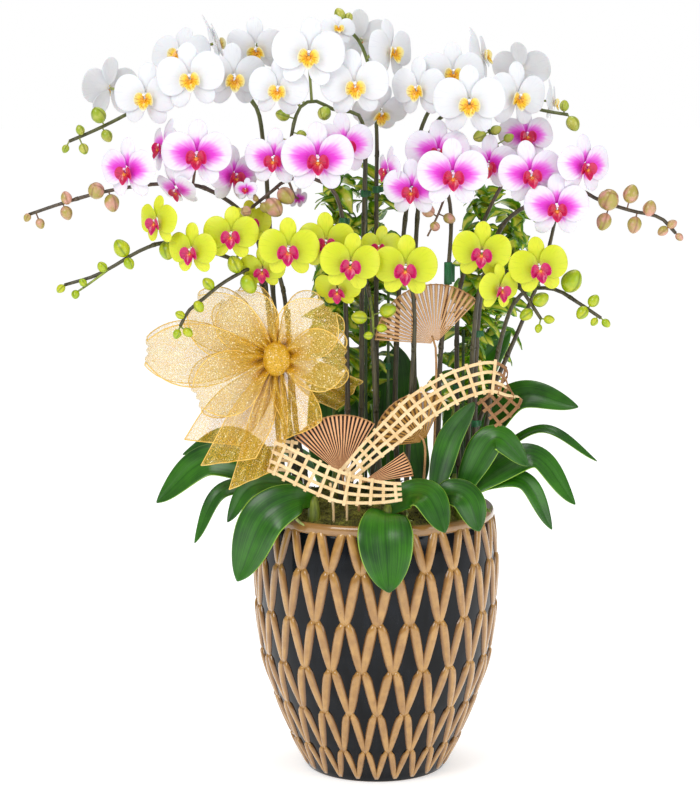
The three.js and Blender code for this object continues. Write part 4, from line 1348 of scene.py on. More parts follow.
@dataclass
class Spray(Piece):
    """One flower spike with its stalks, blooms and buds.

    Attributes:
        name: Its CAD node.
        kind: Which orchid it is of.
        spike: Places of its stem above the moss, in millimetres.
        blooms: x, y, z, yaw, pitch, roll and width of each bloom.
        buds: x, y, z and diameter of each bud.
        twigs: Side stems.
    """

    name: str
    kind: Kind
    spike: Places
    blooms: Places
    buds: Places = ()
    twigs: Sequence[Places] = ()

    STEM = 4.0
    TIP = 2.3
    STALK = 1.7
    BEHIND = 16
    BUD_FOOT = 0.42
    COLLAR = 372
    JOINTS = 0.085
    FIRST_JOINT = 0.0825
    TWIST = 37

    def stalk(self, start: Vector, out: Vector, root: Vector) -> Tube:
        """Curves a flower stalk from behind its bloom to the spike.

        Args:
            start: Where it meets the flower.
            out: The direction that the flower looks in.
            root: Where it leaves the spike.

        Returns:
            The tube.
        """
        back = start - out * 0.4 * (start - root).length
        middle = back.lerp(root, 0.45) + Vector((0, 0, 0.1 * (start - root).length))
        path = Path([[v / MM for v in place] for place in (start, start.lerp(back, 0.5), middle, root)])
        share = np.linspace(0, 1, 9)
        radii = np.interp(share, [0, 0.2, 1], [2.3, self.STALK, self.STALK * 1.15])
        return Tube(path.at(share), MM * radii)

    def stem_runs(self, path: Path) -> Tube:
        """Thickens the spike at its joints."""
        steps = max(12, int(path.length / 0.012))
        share = np.linspace(0, 1, steps + 1)
        radii = self.STEM + (self.TIP - self.STEM) * share
        run = share * path.length
        joint = np.exp(-(((run - 0.04) % self.JOINTS - self.JOINTS / 2) / 0.004) ** 2)
        return Tube(path.at(share), MM * radii * (1 + 0.16 * joint))

    def sheaths(self, path: Path) -> list[Object]:
        """Models the pointed sheath at each joint of the spike."""
        made = []
        for run in np.arange(self.FIRST_JOINT, path.length - 0.05, self.JOINTS):
            share = run / path.length
            scale = primitive(Start.ROD, "sheath", vertices=10, radius=1, depth=1, end_fill_type="TRIFAN")

            def rule(rod: np.ndarray) -> np.ndarray:
                """Flares the rod's foot and draws its top to one side."""
                rise = rod[:, 2] + 0.5
                flare = MM * (self.STEM + (self.TIP - self.STEM) * share) * (1.22 - 0.04 * rise)
                tall = MM * (4 + 5 * np.clip(rod[:, 0], -0.2, 1)) * rise
                return np.stack([rod[:, 0] * flare, rod[:, 1] * flare, tall], -1)

            reshape(scale, rule)
            turn = path.heading(share).to_track_quat("Z", "Y").to_matrix().to_4x4()
            spin = Matrix.Rotation(run * self.TWIST, 4, "Z")
            scale.data.transform(Matrix.Translation(path.point(share)) @ turn @ spin)
            made.append(smoothed(scale))
        return made

    def model(
        self,
        patterns: Sequence[Object],
        bud: Object,
        bark: Material,
        skin: Material,
    ) -> list[Object]:
        """Models the spray.

        Args:
            patterns: Finished flowers to copy.
            bud: A finished bud to copy.
            bark: The spike's material.
            skin: The stalks' material.

        Returns:
            The blooms and the stems, as two pieces.
        """
        x, y = self.spike[0][:2]
        path = Path([[x, y, MEDIUM_TOP], [x, y, self.COLLAR], *self.spike])
        side_paths = [Path(twig) for twig in self.twigs]
        reach = [path, *side_paths]
        spike = painted(tubes("spike", [self.stem_runs(path)]), bark)
        parts = [spike, *(painted(each, bark) for each in self.sheaths(path))]
        stalks = [tube_along(each, 2, 1.4, 10) for each in side_paths]
        flowers = []
        for i, (*place, yaw, pitch, roll, width) in enumerate(self.blooms):
            seat = facing(yaw, pitch, roll)
            centre = Vector(place) * MM
            out = (seat.to_3x3() @ Vector((0, 0, 1))).normalized()
            behind = centre - out * self.BEHIND * MM
            root = min((each.nearest(behind) for each in reach), key=lambda r: (r - behind).length)
            stalks.append(self.stalk(centre - out * 0.03 * width * MM, out, root))
            pattern = patterns[(i + len(self.name)) % len(patterns)]
            grow = Matrix.Scale(width * MM, 4)
            flowers.append(copied(pattern, Matrix.Translation(centre) @ seat @ grow))
        for *place, size in self.buds:
            centre = Vector(place) * MM
            root = min((each.nearest(centre) for each in reach), key=lambda r: (r - centre).length)
            away = centre - root
            away = away if away.length > 1e-4 else Vector((0, 0, 1e-3))
            turn = away.to_track_quat("Z", "Y").to_matrix().to_4x4()
            grow = Matrix.Scale(size * MM, 4)
            parts.append(copied(bud, Matrix.Translation(centre) @ turn @ grow))
            foot = centre - away.normalized() * self.BUD_FOOT * size * MM
            if (centre - root).length > (self.BUD_FOOT + 0.03) * size * MM:
                share = np.linspace(0, 1, 4)[:, None]
                line = np.array(foot) * (1 - share) + np.array(root) * share
                stalks.append(Tube(line, MM * np.array([1.6, 1.1, 1.1, 1.4])))
        if stalks:
            parts.append(painted(tubes("stalks", stalks, 1), skin))
        slot = Slot[self.kind.name]
        pieces = [settled(joined(f"{self.name}_stems", parts), slot, self.name)]
        pieces.append(settled(joined(f"{self.name}_blooms", flowers), slot, self.name))
        return pieces


@dataclass
class Blade:
    """One leaf: its path from the crown, its width and the way its upper face looks."""

    path: Places
    width: float
    face: Sequence[float]


@dataclass
class Rosette(Piece):
    """The leaves of one plant round its crown.

    Attributes:
        name: Its CAD node.
        crown: Where the crown stands, in millimetres.
        leaves: Its leaves.
        top: Height of the crown.
    """

    name: str
    crown: Sequence[float]
    leaves: Sequence[Blade]
    top: float = 394

    THICK = 1.6

    def leaf(self, blade: Blade, seed: int) -> Object:
        """Models one leaf with its channel and rolled margins.

        Args:
            blade: The leaf.
            seed: Seed of its waves.

        Returns:
            The closed piece.
        """
        draw = np.random.default_rng(seed)
        phase = draw.uniform(0, 6.28, 2)
        path = Path([[*self.crown, self.top - 6], *blade.path])

        def width(share: np.ndarray) -> np.ndarray:
            """Widens from the neck and closes in a blunt tip."""
            form = 0.22 + 0.78 * np.sin(0.5 * math.pi * np.minimum(share / 0.5, 1)) ** 0.9
            tip = (1 - np.clip((share - 0.45) / 0.55, 0, 1) ** 2.3) ** 0.72
            return blade.width * MM * (form * tip + 0.03)

        def lift(share: np.ndarray, edge: np.ndarray) -> np.ndarray:
            """Sinks the channel and waves the sides a little."""
            side = np.abs(edge)
            channel = -0.1 * (1 - side**0.9) - 0.05 * side**4
            wave = 0.012 * np.sin(7 * share + phase[0]) * side * np.sign(edge)
            wave += 0.01 * np.sin(13 * share + phase[1]) * side**2
            return (channel + wave) * width(share)

        made = strip(self.name, path, width, blade.face, True, 22, 8, lift)
        thickened(made, self.THICK * MM)
        softened(made)
        return smoothed(made)

    def model(self, skin: Material, root: Material) -> Object:
        """Models the rosette in the leaves' material and the crown's."""
        x, y = self.crown
        parts = [painted(self.leaf(blade, i + len(self.name)), skin) for i, blade in enumerate(self.leaves)]
        heights = np.linspace(MEDIUM_TOP, self.top + 3, 7)
        line = MM * np.array([[x, y, height] for height in heights])
        crown = tubes("crown", [Tube(line, MM * np.array([8, 8.6, 8.8, 8.8, 8.4, 7, 4]))], 3)
        parts.append(painted(crown, root))
        return settled(joined(f"{self.name}_plant", parts), Slot.LEAF, self.name)


@dataclass
class Sprig(Piece):
    """A filler sprig: a thin stem with many curled, variegated leaves."""

    name: str
    path: Places
    seed: int

    LEAVES = 96
    FREE = 0.34
    GOLDEN_TURN = 137.5

    def leaflet(self, draw: Draw) -> Object:
        """Models one curled leaf along +X, one unit long."""
        made = flat_grid("leaflet", 6, 3)
        curl, twist, fold = draw.uniform(0.6, 1.9), draw.uniform(-1.3, 1.3), draw.uniform(0.1, 0.5)

        def rule(flat: np.ndarray) -> np.ndarray:
            """Curls and twists the leaf."""
            share, edge = spread_out(flat)
            half = 0.27 * np.sin(math.pi * (0.08 + 0.9 * share)) ** 0.7
            angle = twist * share
            side, rise = edge * half * np.cos(angle), edge * half * np.sin(angle)
            bend = curl * share
            x = np.sin(bend) / curl
            wave = 0.05 * np.sin(9 * share) * edge
            z = -(1 - np.cos(bend)) / curl + rise + fold * half * np.abs(edge) + wave
            return np.stack([x, side, z], -1)

        reshape(made, rule)
        thickened(made, 0.02)
        return smoothed(made)

    def model(self, skin: Material, stem: Material) -> Object:
        """Models the sprig in the leaves' material and the stem's."""
        draw = np.random.default_rng(self.seed)
        x, y = self.path[0][:2]
        path = Path([[x, y, MEDIUM_TOP], *self.path])
        patterns = [self.leaflet(draw) for _ in range(6)]
        parts = [painted(tubes("stem", [tube_along(path, 2.6, 1.2, 20)]), stem)]
        for i in range(self.LEAVES):
            share = self.FREE + (1 - self.FREE) * (i + 0.5) / self.LEAVES
            place = path.point(share)
            turn = spun(self.GOLDEN_TURN * i + 120 * draw.uniform())
            size = draw.uniform(40, 64) * MM * (1 - 0.2 * share)
            tilt = spun(draw.uniform(-70, 10), "Y")
            seat = Matrix.Translation(place) @ turn @ tilt
            seat = seat @ Matrix.Rotation(draw.uniform(-0.7, 0.7), 4, "X")
            parts.append(painted(copied(patterns[i % 6], seat @ Matrix.Scale(size, 4)), skin))
        removed(*patterns)
        return settled(joined(f"{self.name}_sprig", parts), Slot.FILLER, self.name)


@dataclass
class Pot(Piece):
    """The glazed pot: a dark barrel with tan straps that cross it like a weave.

    Attributes:
        profile: Height and radius over the straps, in millimetres.
        columns: Columns of diamonds.
        rows: Heights where the straps meet.
    """

    profile: Places = (
        (0, 98), (33, 115), (85, 137), (150, 160), (215, 168), (285, 171), (335, 167), (366, 161)
    )
    columns: int = 24
    rows: Sequence[float] = (4, 50, 108, 171, 237, 306, 361)

    HEIGHT = 366
    RIM_FOOT = 351
    RIM_WIDTH = 14
    RELIEF = 4.5
    WALL = 11
    FLOOR = 12

    def radius(self, height: np.ndarray) -> np.ndarray:
        """Returns the radius over the straps at a height, both in millimetres."""
        steps = np.array(self.profile, float)
        blur = (-14, -7, 0, 7, 14)
        return sum(np.interp(height + d, steps[:, 0], steps[:, 1]) for d in blur) / len(blur)

    def barrel(self) -> Object:
        """Spins the body with its rim, wall and floor."""
        heights = np.linspace(2, 350, 48)
        outer = [[self.radius(h) - self.RELIEF, h] for h in heights]
        foot = self.radius(0) - self.RELIEF
        rim = self.radius(self.HEIGHT)
        outside = [[rim - 3.2, 351.5], [rim - 0.6, 353], [rim + 0.6, 356], [rim + 0.6, 360.5]]
        crest = [[rim - 0.4, 364], [rim - 2.6, 366], [rim - 6, 366], [rim - 9.4, 365], [rim - 11, 362.6]]
        inner = [[self.radius(h) - self.WALL, h] for h in np.linspace(355, 22, 24)]
        corner = [[self.radius(16) - self.WALL - 4, 13.6], [self.radius(12) - 18, self.FLOOR]]
        base = [[0, 0], [foot - 5, 0], [foot - 1.4, 0.5]]
        return turned("barrel", [*base, *outer, *outside, *crest, *inner, *corner, [0, self.FLOOR]], 120)

    def strap(self, row: int, hand: int) -> Object:
        """Models one strap of a row, from a meeting place down to the next.

        Args:
            row: The row of its lower end.
            hand: 1 if it runs down to the right, -1 to the left.

        Returns:
            The closed piece.
        """
        made = flat_grid("strap", 9, 6)
        low, high = self.rows[row], self.rows[row + 1]
        rim = row == len(self.rows) - 2
        shift = 0 if rim else 0.02

        def rule(flat: np.ndarray) -> np.ndarray:
            """Bends the grid into a rounded strap on the barrel."""
            share, edge = spread_out(flat)
            half = np.interp(share, [0, 0.06, 0.14, 0.4, 0.75, 1], [0.2, 0.3, 0.345, 0.36, 0.33, 0.2])
            middle = np.interp(share, [0, 0.14, 1], [0.2, 0.31, 0.93])
            step = (row + 1) % 2 + hand * (middle + 0 * share) + edge * half
            swell = np.interp(share, [0, 0.05, 0.14, 0.5, 0.9, 1], [0.3, 0.84, 1.08, 0.98, 0.8, 0.45])
            rise = swell * np.sqrt(np.clip(1 - edge**2 * 0.995, 0, 1)) - 0.16
            height = high - (high - low) * (share * (1.0 if row == 0 else 1.09) - shift)
            height = height - 3.2 * (edge**2) * np.clip(1 - share * 6, 0, 1)
            away = (self.radius(height) - self.RELIEF + 1.08 * self.RELIEF * rise) * MM
            turn = math.pi * step / self.columns
            return np.stack([away * np.sin(turn), -away * np.cos(turn), height * MM], -1)

        # The side mark runs from 0 on the strap's middle line to 1 at its edges; the tan glaze turns
        # browner with it, partly as painted shade.
        marked(made, "side", np.abs(2 * places_of(made)[:, 1]))
        with editing(reshape(made, rule)):
            bpy.ops.mesh.extrude_region()
            bpy.ops.transform.resize(value=(0.97, 0.97, 1), center_override=(0, 0, 0))
        return welded(made, 1e-7)

    def model(self, dark: Material, tan: Material) -> Object:
        """Models the pot in the glaze of its diamonds and inside, and that of its straps and rim."""
        barrel = painted(self.barrel(), dark)
        barrel.data.materials.append(tan)
        # The barrel's tan rim takes the side mark at 0.7, which makes it browner all over.
        marked(barrel, "side", np.full(len(barrel.data.vertices), 0.7))
        edge = (self.radius(self.HEIGHT) - self.RIM_WIDTH) * MM
        for face in barrel.data.polygons:
            middle = face.center
            wide = math.hypot(middle.x, middle.y) > edge
            face.material_index = int(middle.z > self.RIM_FOOT * MM and wide or middle.z < 1 * MM)
        parts = [barrel]
        for row in range(len(self.rows) - 1):
            for hand in (-1, 1):
                strap = painted(smoothed(self.strap(row, hand)), tan)
                for column in range(self.columns):
                    turn = Matrix.Rotation(2 * math.pi * column / self.columns, 4, "Z")
                    parts.append(copied(strap, turn))
                removed(strap)
        return settled(joined("glazed_pot", parts), Slot.POT, "pot")


@dataclass(frozen=True)
class Root(Piece):
    """A pale air root that lies over the moss: its path in millimetres."""

    path: Places

    RADIUS = 2.2

    def model(self, skin: Material) -> Object:
        """Models the root with its blunt tip."""
        path = Path(self.path)
        share = np.linspace(0, 1, 17)
        radii = MM * self.RADIUS * np.interp(share, [0, 0.85, 0.96, 1], [1, 0.9, 0.7, 0.25])
        root = tubes(f"root_{int(self.path[0][0])}", [Tube(path.at(share), radii)], 1)
        return settled(painted(root, skin), Slot.LEAF, "moss_cover")


@dataclass
class Moss(Piece):
    """The mound of moss over the pot's mouth.

    Attributes:
        radius: Radius of the mound in millimetres.
        edge: Height of its edge.
        crest: Height of its middle.
        tufts: Number of tufts on it.
    """

    radius: float = 147.5
    edge: float = 350
    crest: float = 381
    tufts: int = 900

    BLANK = 400

    def height(self, radius: np.ndarray, turn: np.ndarray) -> np.ndarray:
        """Returns the mound's height at a place, in millimetres."""
        share = np.clip(radius / self.radius, 0, 1)
        lump = np.sin(5 * turn + radius / 14) * np.cos(9 * turn - radius / 21)
        small = np.sin(23 * turn + radius / 3.1) * np.sin(radius / 4.7 + 3 * turn)
        dome = self.edge + (self.crest - self.edge) * (1 - share**4) ** 0.6
        return dome + (3 * lump + 1.6 * small) * np.minimum(1, radius / 40)

    def tuft(self, draw: Draw) -> Object:
        """Models one tuft of moss, one unit tall."""
        runs = []
        for _ in range(7):
            turn, lean = draw.uniform(0, 6.28), draw.uniform(0.2, 1.1)
            reach = np.array([math.cos(turn) * lean, math.sin(turn) * lean, draw.uniform(0.5, 1)])
            share = np.array([0, 0.5, 1])[:, None]
            curl = np.array([0, 0, -0.25]) * share**2
            runs.append(Tube(reach * share + curl, np.array([0.1, 0.13, 0.04])))
        return tubes("tuft", runs, 0)

    def model(self, skin: Material) -> Object:
        """Models the mound with its tufts."""
        rings = np.linspace(0, 1, 40) ** 0.8
        profile = [[0, MEDIUM_TOP], [self.radius, MEDIUM_TOP]]
        profile += [[self.radius * r, self.BLANK] for r in rings[::-1]]
        mound = turned("mound", profile, 120)

        def rule(places: np.ndarray) -> np.ndarray:
            """Drops the top of the spun shape onto the mound's height."""
            away = np.hypot(places[:, 0], places[:, 1]) / MM
            turn = np.arctan2(places[:, 1], places[:, 0])
            top = places[:, 2] > (self.BLANK - 1) * MM
            rise = np.where(top, self.height(away, turn) * MM, places[:, 2])
            return np.stack([places[:, 0], places[:, 1], rise], -1)

        parts = [painted(reshape(mound, rule), skin)]
        draw = np.random.default_rng(11)
        patterns = [self.tuft(draw) for _ in range(5)]
        for i in range(self.tufts):
            away = self.radius * 0.99 * math.sqrt(draw.uniform(0.02, 1))
            turn = draw.uniform(-math.pi, math.pi)
            height = float(self.height(np.array([away]), np.array([turn]))[0]) - 1.5
            place = Vector((away * math.cos(turn), away * math.sin(turn), height)) * MM
            size = draw.uniform(4, 8) * MM * (1 if away < 140 else 0.7)
            seat = Matrix.Translation(place) @ Matrix.Rotation(draw.uniform(0, 6.28), 4, "Z")
            parts.append(painted(copied(patterns[i % 5], seat @ Matrix.Scale(size, 4)), skin))
        removed(*patterns)
        return settled(joined("moss_mound", parts), Slot.MOSS, "moss_cover")


@dataclass(frozen=True)
class Tail:
    """A free end of the ribbon: its path after the knot, how wide it stands and how its end is cut."""

    path: Places
    spread: float
    slant: float


@dataclass
class Bow(Piece):
    """The bow of gold net ribbon with wired edges.

    Attributes:
        knot: Centre of the knot in millimetres.
        width: Full width of the ribbon in millimetres.
        loops: Tip of each loop.
        tails: The tails.
        wires: The wired edges, gathered as the ribbons are laid.
    """

    knot: Sequence[float] = (-134, -74.9, 580)
    width: float = 84
    loops: Places = (
        (-306, -118, 594),
        (-244, -108, 656),
        (-240, -126, 532),
        (-62, -112, 654),
        (-38, -118, 584),
        (-196, -98, 666),
    )
    tails: Sequence[Tail] = (
        Tail(((-162, -94, 540), (-200, -112, 498), (-226, -122, 458)), 0.8, 0.12),
        Tail(((-152, -106, 532), (-180, -130, 478), (-206, -138, 430)), 0.7, 0.14),
        Tail(((-140, -110, 525), (-150, -122, 470), (-170, -128, 402)), 0.64, 0.14),
        Tail(((-122, -100, 544), (-100, -112, 506), (-104, -116, 468)), 0.62, 0.15),
        Tail(((-100, -66, 560), (-64, -44, 536), (-30, -34, 520)), 0.6, -0.06),
    )
    wires: list[Tube] = field(default_factory=list)

    PLEATS = 3
    WIRE = 0.8
    SWELL = 26
    STEPS = 56
    ACROSS = 36
    CUT_SHARE = 0.82
    KNOT_SIZE = (18.5, 20, 23)

    def ribbon(
        self,
        name: str,
        places: Places,
        aim: Sequence[float],
        chord: Rule,
        slant: float,
        skin: Material,
    ) -> Object:
        """Lays one length of ribbon, pleated where it is gathered.

        Args:
            name: Name of the piece.
            places: Its path.
            aim: The place that it reaches for.
            chord: How wide it stands by share of its length, in millimetres.
            slant: How much further its left side runs than its right one.
            skin: The net's material.

        Returns:
            The sheet.
        """
        path = Path(places)
        side = np.cross([0, 1, 0], np.array(aim, float) - np.array(self.knot))
        sway = np.random.default_rng(len(places) + int(abs(aim[0]))).uniform(0, 6.28)

        def fold(share: np.ndarray) -> np.ndarray:
            """Returns the pleats' depth, deep at the knot and slight elsewhere, in metres."""
            slack = np.clip(self.width**2 - chord(share) ** 2, 0, None)
            gap = share if slant else np.minimum(share, 1 - share)
            near = np.clip(1.35 - 3.2 * gap, 0.8 if slant else 0.3, 1)
            return np.sqrt(slack) / (4 * self.PLEATS) * near * MM

        def lift(share: np.ndarray, edge: np.ndarray) -> np.ndarray:
            """Raises the pleats and domes the open part."""
            wave = np.sin(math.pi * self.PLEATS * edge * (1 + 0.1 * np.sin(5 * share + sway)) + sway)
            dome = 0.1 * chord(share) * MM * (1 - edge**2) * np.sin(math.pi * share)
            return fold(share) * wave + dome

        made = flat_grid(name, self.STEPS, self.ACROSS)

        def rule(flat: np.ndarray) -> np.ndarray:
            """Lays the grid along the path, its end cut aslant."""
            share, edge = spread_out(flat)
            run = share * (1 + slant * edge * share**2) / (1 + abs(slant))
            along = path.along(run)
            wide = unit(side - along * (along * side).sum(-1, keepdims=True))
            out = np.cross(along, wide)
            reach = wide * (edge / 2 * chord(share) * MM)[:, None]
            return path.at(run) + reach + out * lift(share, edge)[:, None]

        reshape(made, rule)
        columns = self.STEPS + 1
        deep = fold(np.linspace(0, 1, columns)) / (self.width / (4 * self.PLEATS) * MM)
        marked(made, "gather", np.tile(np.clip(deep * 1.5 - 0.35, 0, 1), self.ACROSS + 1))
        stretched(made, (path.length, self.width * MM))
        rows = places_of(made).reshape(self.ACROSS + 1, columns, 3)
        lines = [rows[0], rows[-1]] + ([rows[:, -1]] if slant else [])
        self.wires += [Tube(line, np.full(len(line), self.WIRE * MM)) for line in lines]
        painted(smoothed(made), skin)
        settled(made, Slot.RIBBON, "bow")
        return made

    def loop_path(self, tip: Sequence[float]) -> Places:
        """Returns the path of a loop from the knot to its tip and back."""
        knot = np.array(self.knot)
        reach = np.array(tip) - knot
        stops = [(0.05, 4), (0.4, self.SWELL), (0.8, self.SWELL), (1, 6), (0.8, -6), (0.4, -2), (0.05, 2)]
        return [list(knot + share * reach - np.array([0, forward, 0])) for share, forward in stops]

    def loop_chord(self, share: np.ndarray) -> np.ndarray:
        """Returns how wide a loop stands: narrow at the knot, full, and rounded at its tip."""
        away = np.abs(share - 0.5)
        stops = [0, 0.02, 0.04, 0.07, 0.1, 0.14, 0.19, 0.25, 0.32, 0.4, 0.46, 0.5]
        widths = [0.34, 0.46, 0.6, 0.76, 0.88, 0.97, 1.0, 0.95, 0.78, 0.5, 0.26, 0.14]
        return self.width * np.interp(away, stops, widths)

    def tail_chord(self, spread: float) -> Rule:
        """Returns how wide a tail stands as it opens out of the knot."""
        neck = 0.12

        def chord(share: np.ndarray) -> np.ndarray:
            """Widens from the knot to the full spread."""
            opening = np.sin(0.5 * math.pi * np.minimum(1, 1.5 * share))
            return self.width * (neck + (spread - neck) * opening)

        return chord

    def knot_piece(self, skin: Material) -> Object:
        """Models the knot as a wrapped, creased ball."""
        made = primitive(Start.BALL, "bow_knot", segments=40, ring_count=24, radius=1)

        def rule(ball: np.ndarray) -> np.ndarray:
            """Creases the ball and sets it at its place."""
            crease = 0.07 * np.sin(9 * ball[:, 0] + 2 * ball[:, 2]) + 0.02 * np.sin(21 * ball[:, 0])
            size = np.array(self.KNOT_SIZE) * MM
            grown = ball * (1 + crease[:, None] * (1 - ball[:, 2:3] ** 2)) * size
            return grown + (np.array(self.knot) - np.array([0, self.KNOT_SIZE[1], 0])) * MM

        reshape(made, rule)
        marked(made, "gather", np.full(len(made.data.vertices), 1.3))
        stretched(made, (0.1, 0.1))
        return settled(painted(smoothed(made), skin), Slot.RIBBON, "bow")

    def model(self, net: Material, wire: Material) -> list[Object]:
        """Models the whole bow in the ribbon's material and the wired edges'."""
        made = [self.knot_piece(net)]
        for i, tip in enumerate(self.loops):
            made.append(self.ribbon(f"bow_loop_{i + 1}", self.loop_path(tip), tip, self.loop_chord, 0, net))
        for i, tail in enumerate(self.tails):
            start = np.array(self.knot) * 0.85 + np.array(tail.path[0]) * 0.15
            places = [list(start), *tail.path]
            chord = self.tail_chord(tail.spread)
            made.append(self.ribbon(f"bow_tail_{i + 1}", places, tail.path[-1], chord, tail.slant, net))
        edges = painted(tubes("bow_wires", self.wires, 0), wire)
        made.append(settled(edges, Slot.RIBBON, "bow"))
        return made


@dataclass
class Fan(Piece):
    """A pleated fan on a stick.

    Attributes:
        name: Its CAD node.
        apex: Where its ribs meet, in millimetres.
        radius: Length of its ribs.
        start: Angle of its right side from the horizontal, in degrees.
        end: Angle of its left side.
        ribs: Number of ribs.
        foot: Where its stick stands.
    """

    name: str
    apex: Sequence[float]
    radius: float
    start: float
    end: float
    ribs: int
    foot: Sequence[float]

    DEPTH = 2.4
    HEART = 5
    GRIP = 12
    COLLAR = 396

    def model(self, skin: Material, stick: Material) -> Object:
        """Models the fan in the blade's material and that of its stick and rim."""
        cells = 4 * self.ribs
        blade = flat_grid(self.name, 10, cells)
        spread = places_of(blade)[:, 1] + 0.5
        fold = 0.5 + 0.5 * np.cos(2 * math.pi * self.ribs * spread)

        def rule(flat: np.ndarray) -> np.ndarray:
            """Opens the grid into a pleated fan."""
            share = flat[:, 0] + 0.5
            turn = np.radians(self.end + (self.start - self.end) * spread)
            scallop = 1 + 0.012 * (fold - 0.5) * share
            length = (self.HEART + (self.radius - self.HEART) * share) * scallop
            depth = self.DEPTH * (fold - 0.5) * share + 3 * np.sin(math.pi * share) * 0.5
            x, z = length * np.cos(turn), length * np.sin(turn)
            return (np.stack([x, -depth, z], -1) + np.array(self.apex)) * MM

        reshape(blade, rule)
        rim = places_of(blade).reshape(cells + 1, 11, 3)[:, -1]
        marked(blade, "fold", fold)
        thickened(blade, 0.7 * MM)
        parts = [painted(smoothed(blade), skin)]
        middle = math.radians((self.start + self.end) / 2)
        x, y, z = self.apex
        grip = [x + self.GRIP * math.cos(middle), y, z + self.GRIP * math.sin(middle)]
        path = Path([[*self.foot, MEDIUM_TOP], [*self.foot, self.COLLAR], self.apex, grip])
        runs = [tube_along(path, 2, 1.6, 16), Tube(rim, np.full(len(rim), 0.9 * MM))]
        parts.append(painted(tubes("stick", runs, 1), stick))
        return settled(joined(f"{self.name}_blade", parts), Slot.FAN, self.name)


@dataclass
class Lattice(Piece):
    """A band of bamboo lattice bent into an arc.

    Attributes:
        name: Its CAD node.
        path: Places of its middle slat, in millimetres.
        side: Direction of its short slats.
        leg: Places of the leg that it stands on.
        crossings: Number of short slats.
        narrow: How much narrower it is at its start and at its end.
    """

    name: str
    path: Places
    side: Sequence[float]
    leg: Places
    crossings: int
    narrow: tuple[float, float] = (0.0, 0.0)

    LONG = 4
    SPACING = 12.6
    SLAT = 4.2
    THICK = 1.2
    REACH = 46
    LEG = 1.8
    # Where the painted shade starts: faces behind this depth and above this height, in millimetres, take
    # the darker bamboo.
    TURNED = -105
    ARCH = 440

    def breadth(self, share: np.ndarray) -> np.ndarray:
        """Returns the band's width by share of its length, of its full width."""
        first, last = self.narrow
        start = first * np.clip(1 - share / 0.35, 0, 1)
        return 1 - start - last * np.clip((share - 0.65) / 0.35, 0, 1)

    def long_slat(self, path: Path, offset: float, phase: float) -> Object:
        """Models one long slat that weaves over and under the short ones."""
        count = self.crossings
        side = unit(np.array(self.side, float))

        def weave(share: np.ndarray, _: np.ndarray) -> np.ndarray:
            """Waves the slat to either side of the band."""
            return 0.5 * MM * np.cos(math.pi * (count * share + phase))

        def width(share: np.ndarray) -> np.ndarray:
            """Keeps the slat equally wide."""
            return np.full_like(share, self.SLAT * MM)

        made = strip("slat", path, width, side, False, 4 * count, 2, weave)
        share = np.linspace(0, 1, 4 * count + 1)
        along = path.along(share)
        wide = unit(side - along * (along * side).sum(-1, keepdims=True))
        shift = np.tile(wide * (offset * MM * self.breadth(share))[:, None], (3, 1))
        reshape(made, lambda places: places + shift)
        return thickened(made, self.THICK * MM)

    def short_slat(self, path: Path, share: float, over: float, draw: Draw) -> Object:
        """Models one short slat across the band."""
        made = primitive(Start.BLOCK, "slat", size=1)
        long = self.REACH * draw.uniform(0.96, 1.04) * float(self.breadth(share))
        along = path.heading(share)
        side = Vector(unit(np.array(self.side, float)))
        wide = (side - along * along.dot(side)).normalized()
        out = along.cross(wide)
        turn = Matrix((along, wide, out)).transposed().to_4x4()
        place = path.point(share) + out * over * 1.1 * MM
        size = Matrix.Diagonal((self.SLAT * MM, long * MM, self.THICK * MM, 1))
        lean = spun(draw.uniform(-3, 3))
        made.data.transform(Matrix.Translation(place) @ turn @ lean @ size)
        return modified(made, "BEVEL", width=0.35 * MM, segments=2)

    def model(self, skin: Material, painted_shade_skin: Material) -> Object:
        """Models the band and its leg in the slats' material, and in a darker copy of it, painted shade, on
        the part of the band that turns back behind the arch.
        """
        draw = np.random.default_rng(len(self.name))
        path = Path(self.path)
        first = (self.LONG - 1) / 2
        parts = [self.long_slat(path, (i - first) * self.SPACING, i) for i in range(self.LONG)]
        for i in range(self.crossings):
            share = (i + 0.5) / self.crossings
            parts.append(self.short_slat(path, share, 1 if i % 2 else -1, draw))
        leg = Path([*self.leg, [*self.leg[-1][:2], MEDIUM_TOP]])
        parts.append(tubes("leg", [tube_along(leg, self.LEG, self.LEG, 10)], 1))
        whole = joined(f"{self.name}_band", [painted(part, skin) for part in parts])
        whole.data.materials.append(painted_shade_skin)
        # Painted shade: faces behind the band's turn and above the arch take the darker bamboo.
        for face in whole.data.polygons:
            middle = face.center
            face.material_index = int(middle.y > self.TURNED * MM and middle.z > self.ARCH * MM)
        return settled(whole, Slot.BAMBOO, self.name)


@dataclass(frozen=True)
class Clip(Piece):
    """A small clip round a stem: which spray it holds, its height and how tall it is."""

    spray: str
    height: float
    tall: float

    RADIUS = 5.6

    def model(self, skin: Material) -> Object:
        """Models the clip as a ring of round jaws."""
        spray = next(each for each in SPRAYS if each.name == self.spray)
        line = Path(spray.spike).trace
        x, y, _ = line[int(np.abs(line[:, 2] - self.height * MM).argmin())]
        name = f"clip_{self.spray}_{self.height}"
        ring = primitive(Start.ROD, name, vertices=16, radius=self.RADIUS * MM, depth=self.tall * MM)
        bevelled(ring, 1.2)
        jaw = copied(ring, Matrix.Translation((6 * MM, 3 * MM, 0)) @ Matrix.Diagonal((0.6, 0.6, 0.8, 1)))
        whole = joined(ring.name, [ring, jaw])
        whole.data.transform(Matrix.Translation((x, y, self.height * MM)))
        return settled(painted(smoothed(whole), skin), Slot.STAKE, "stake_middle")


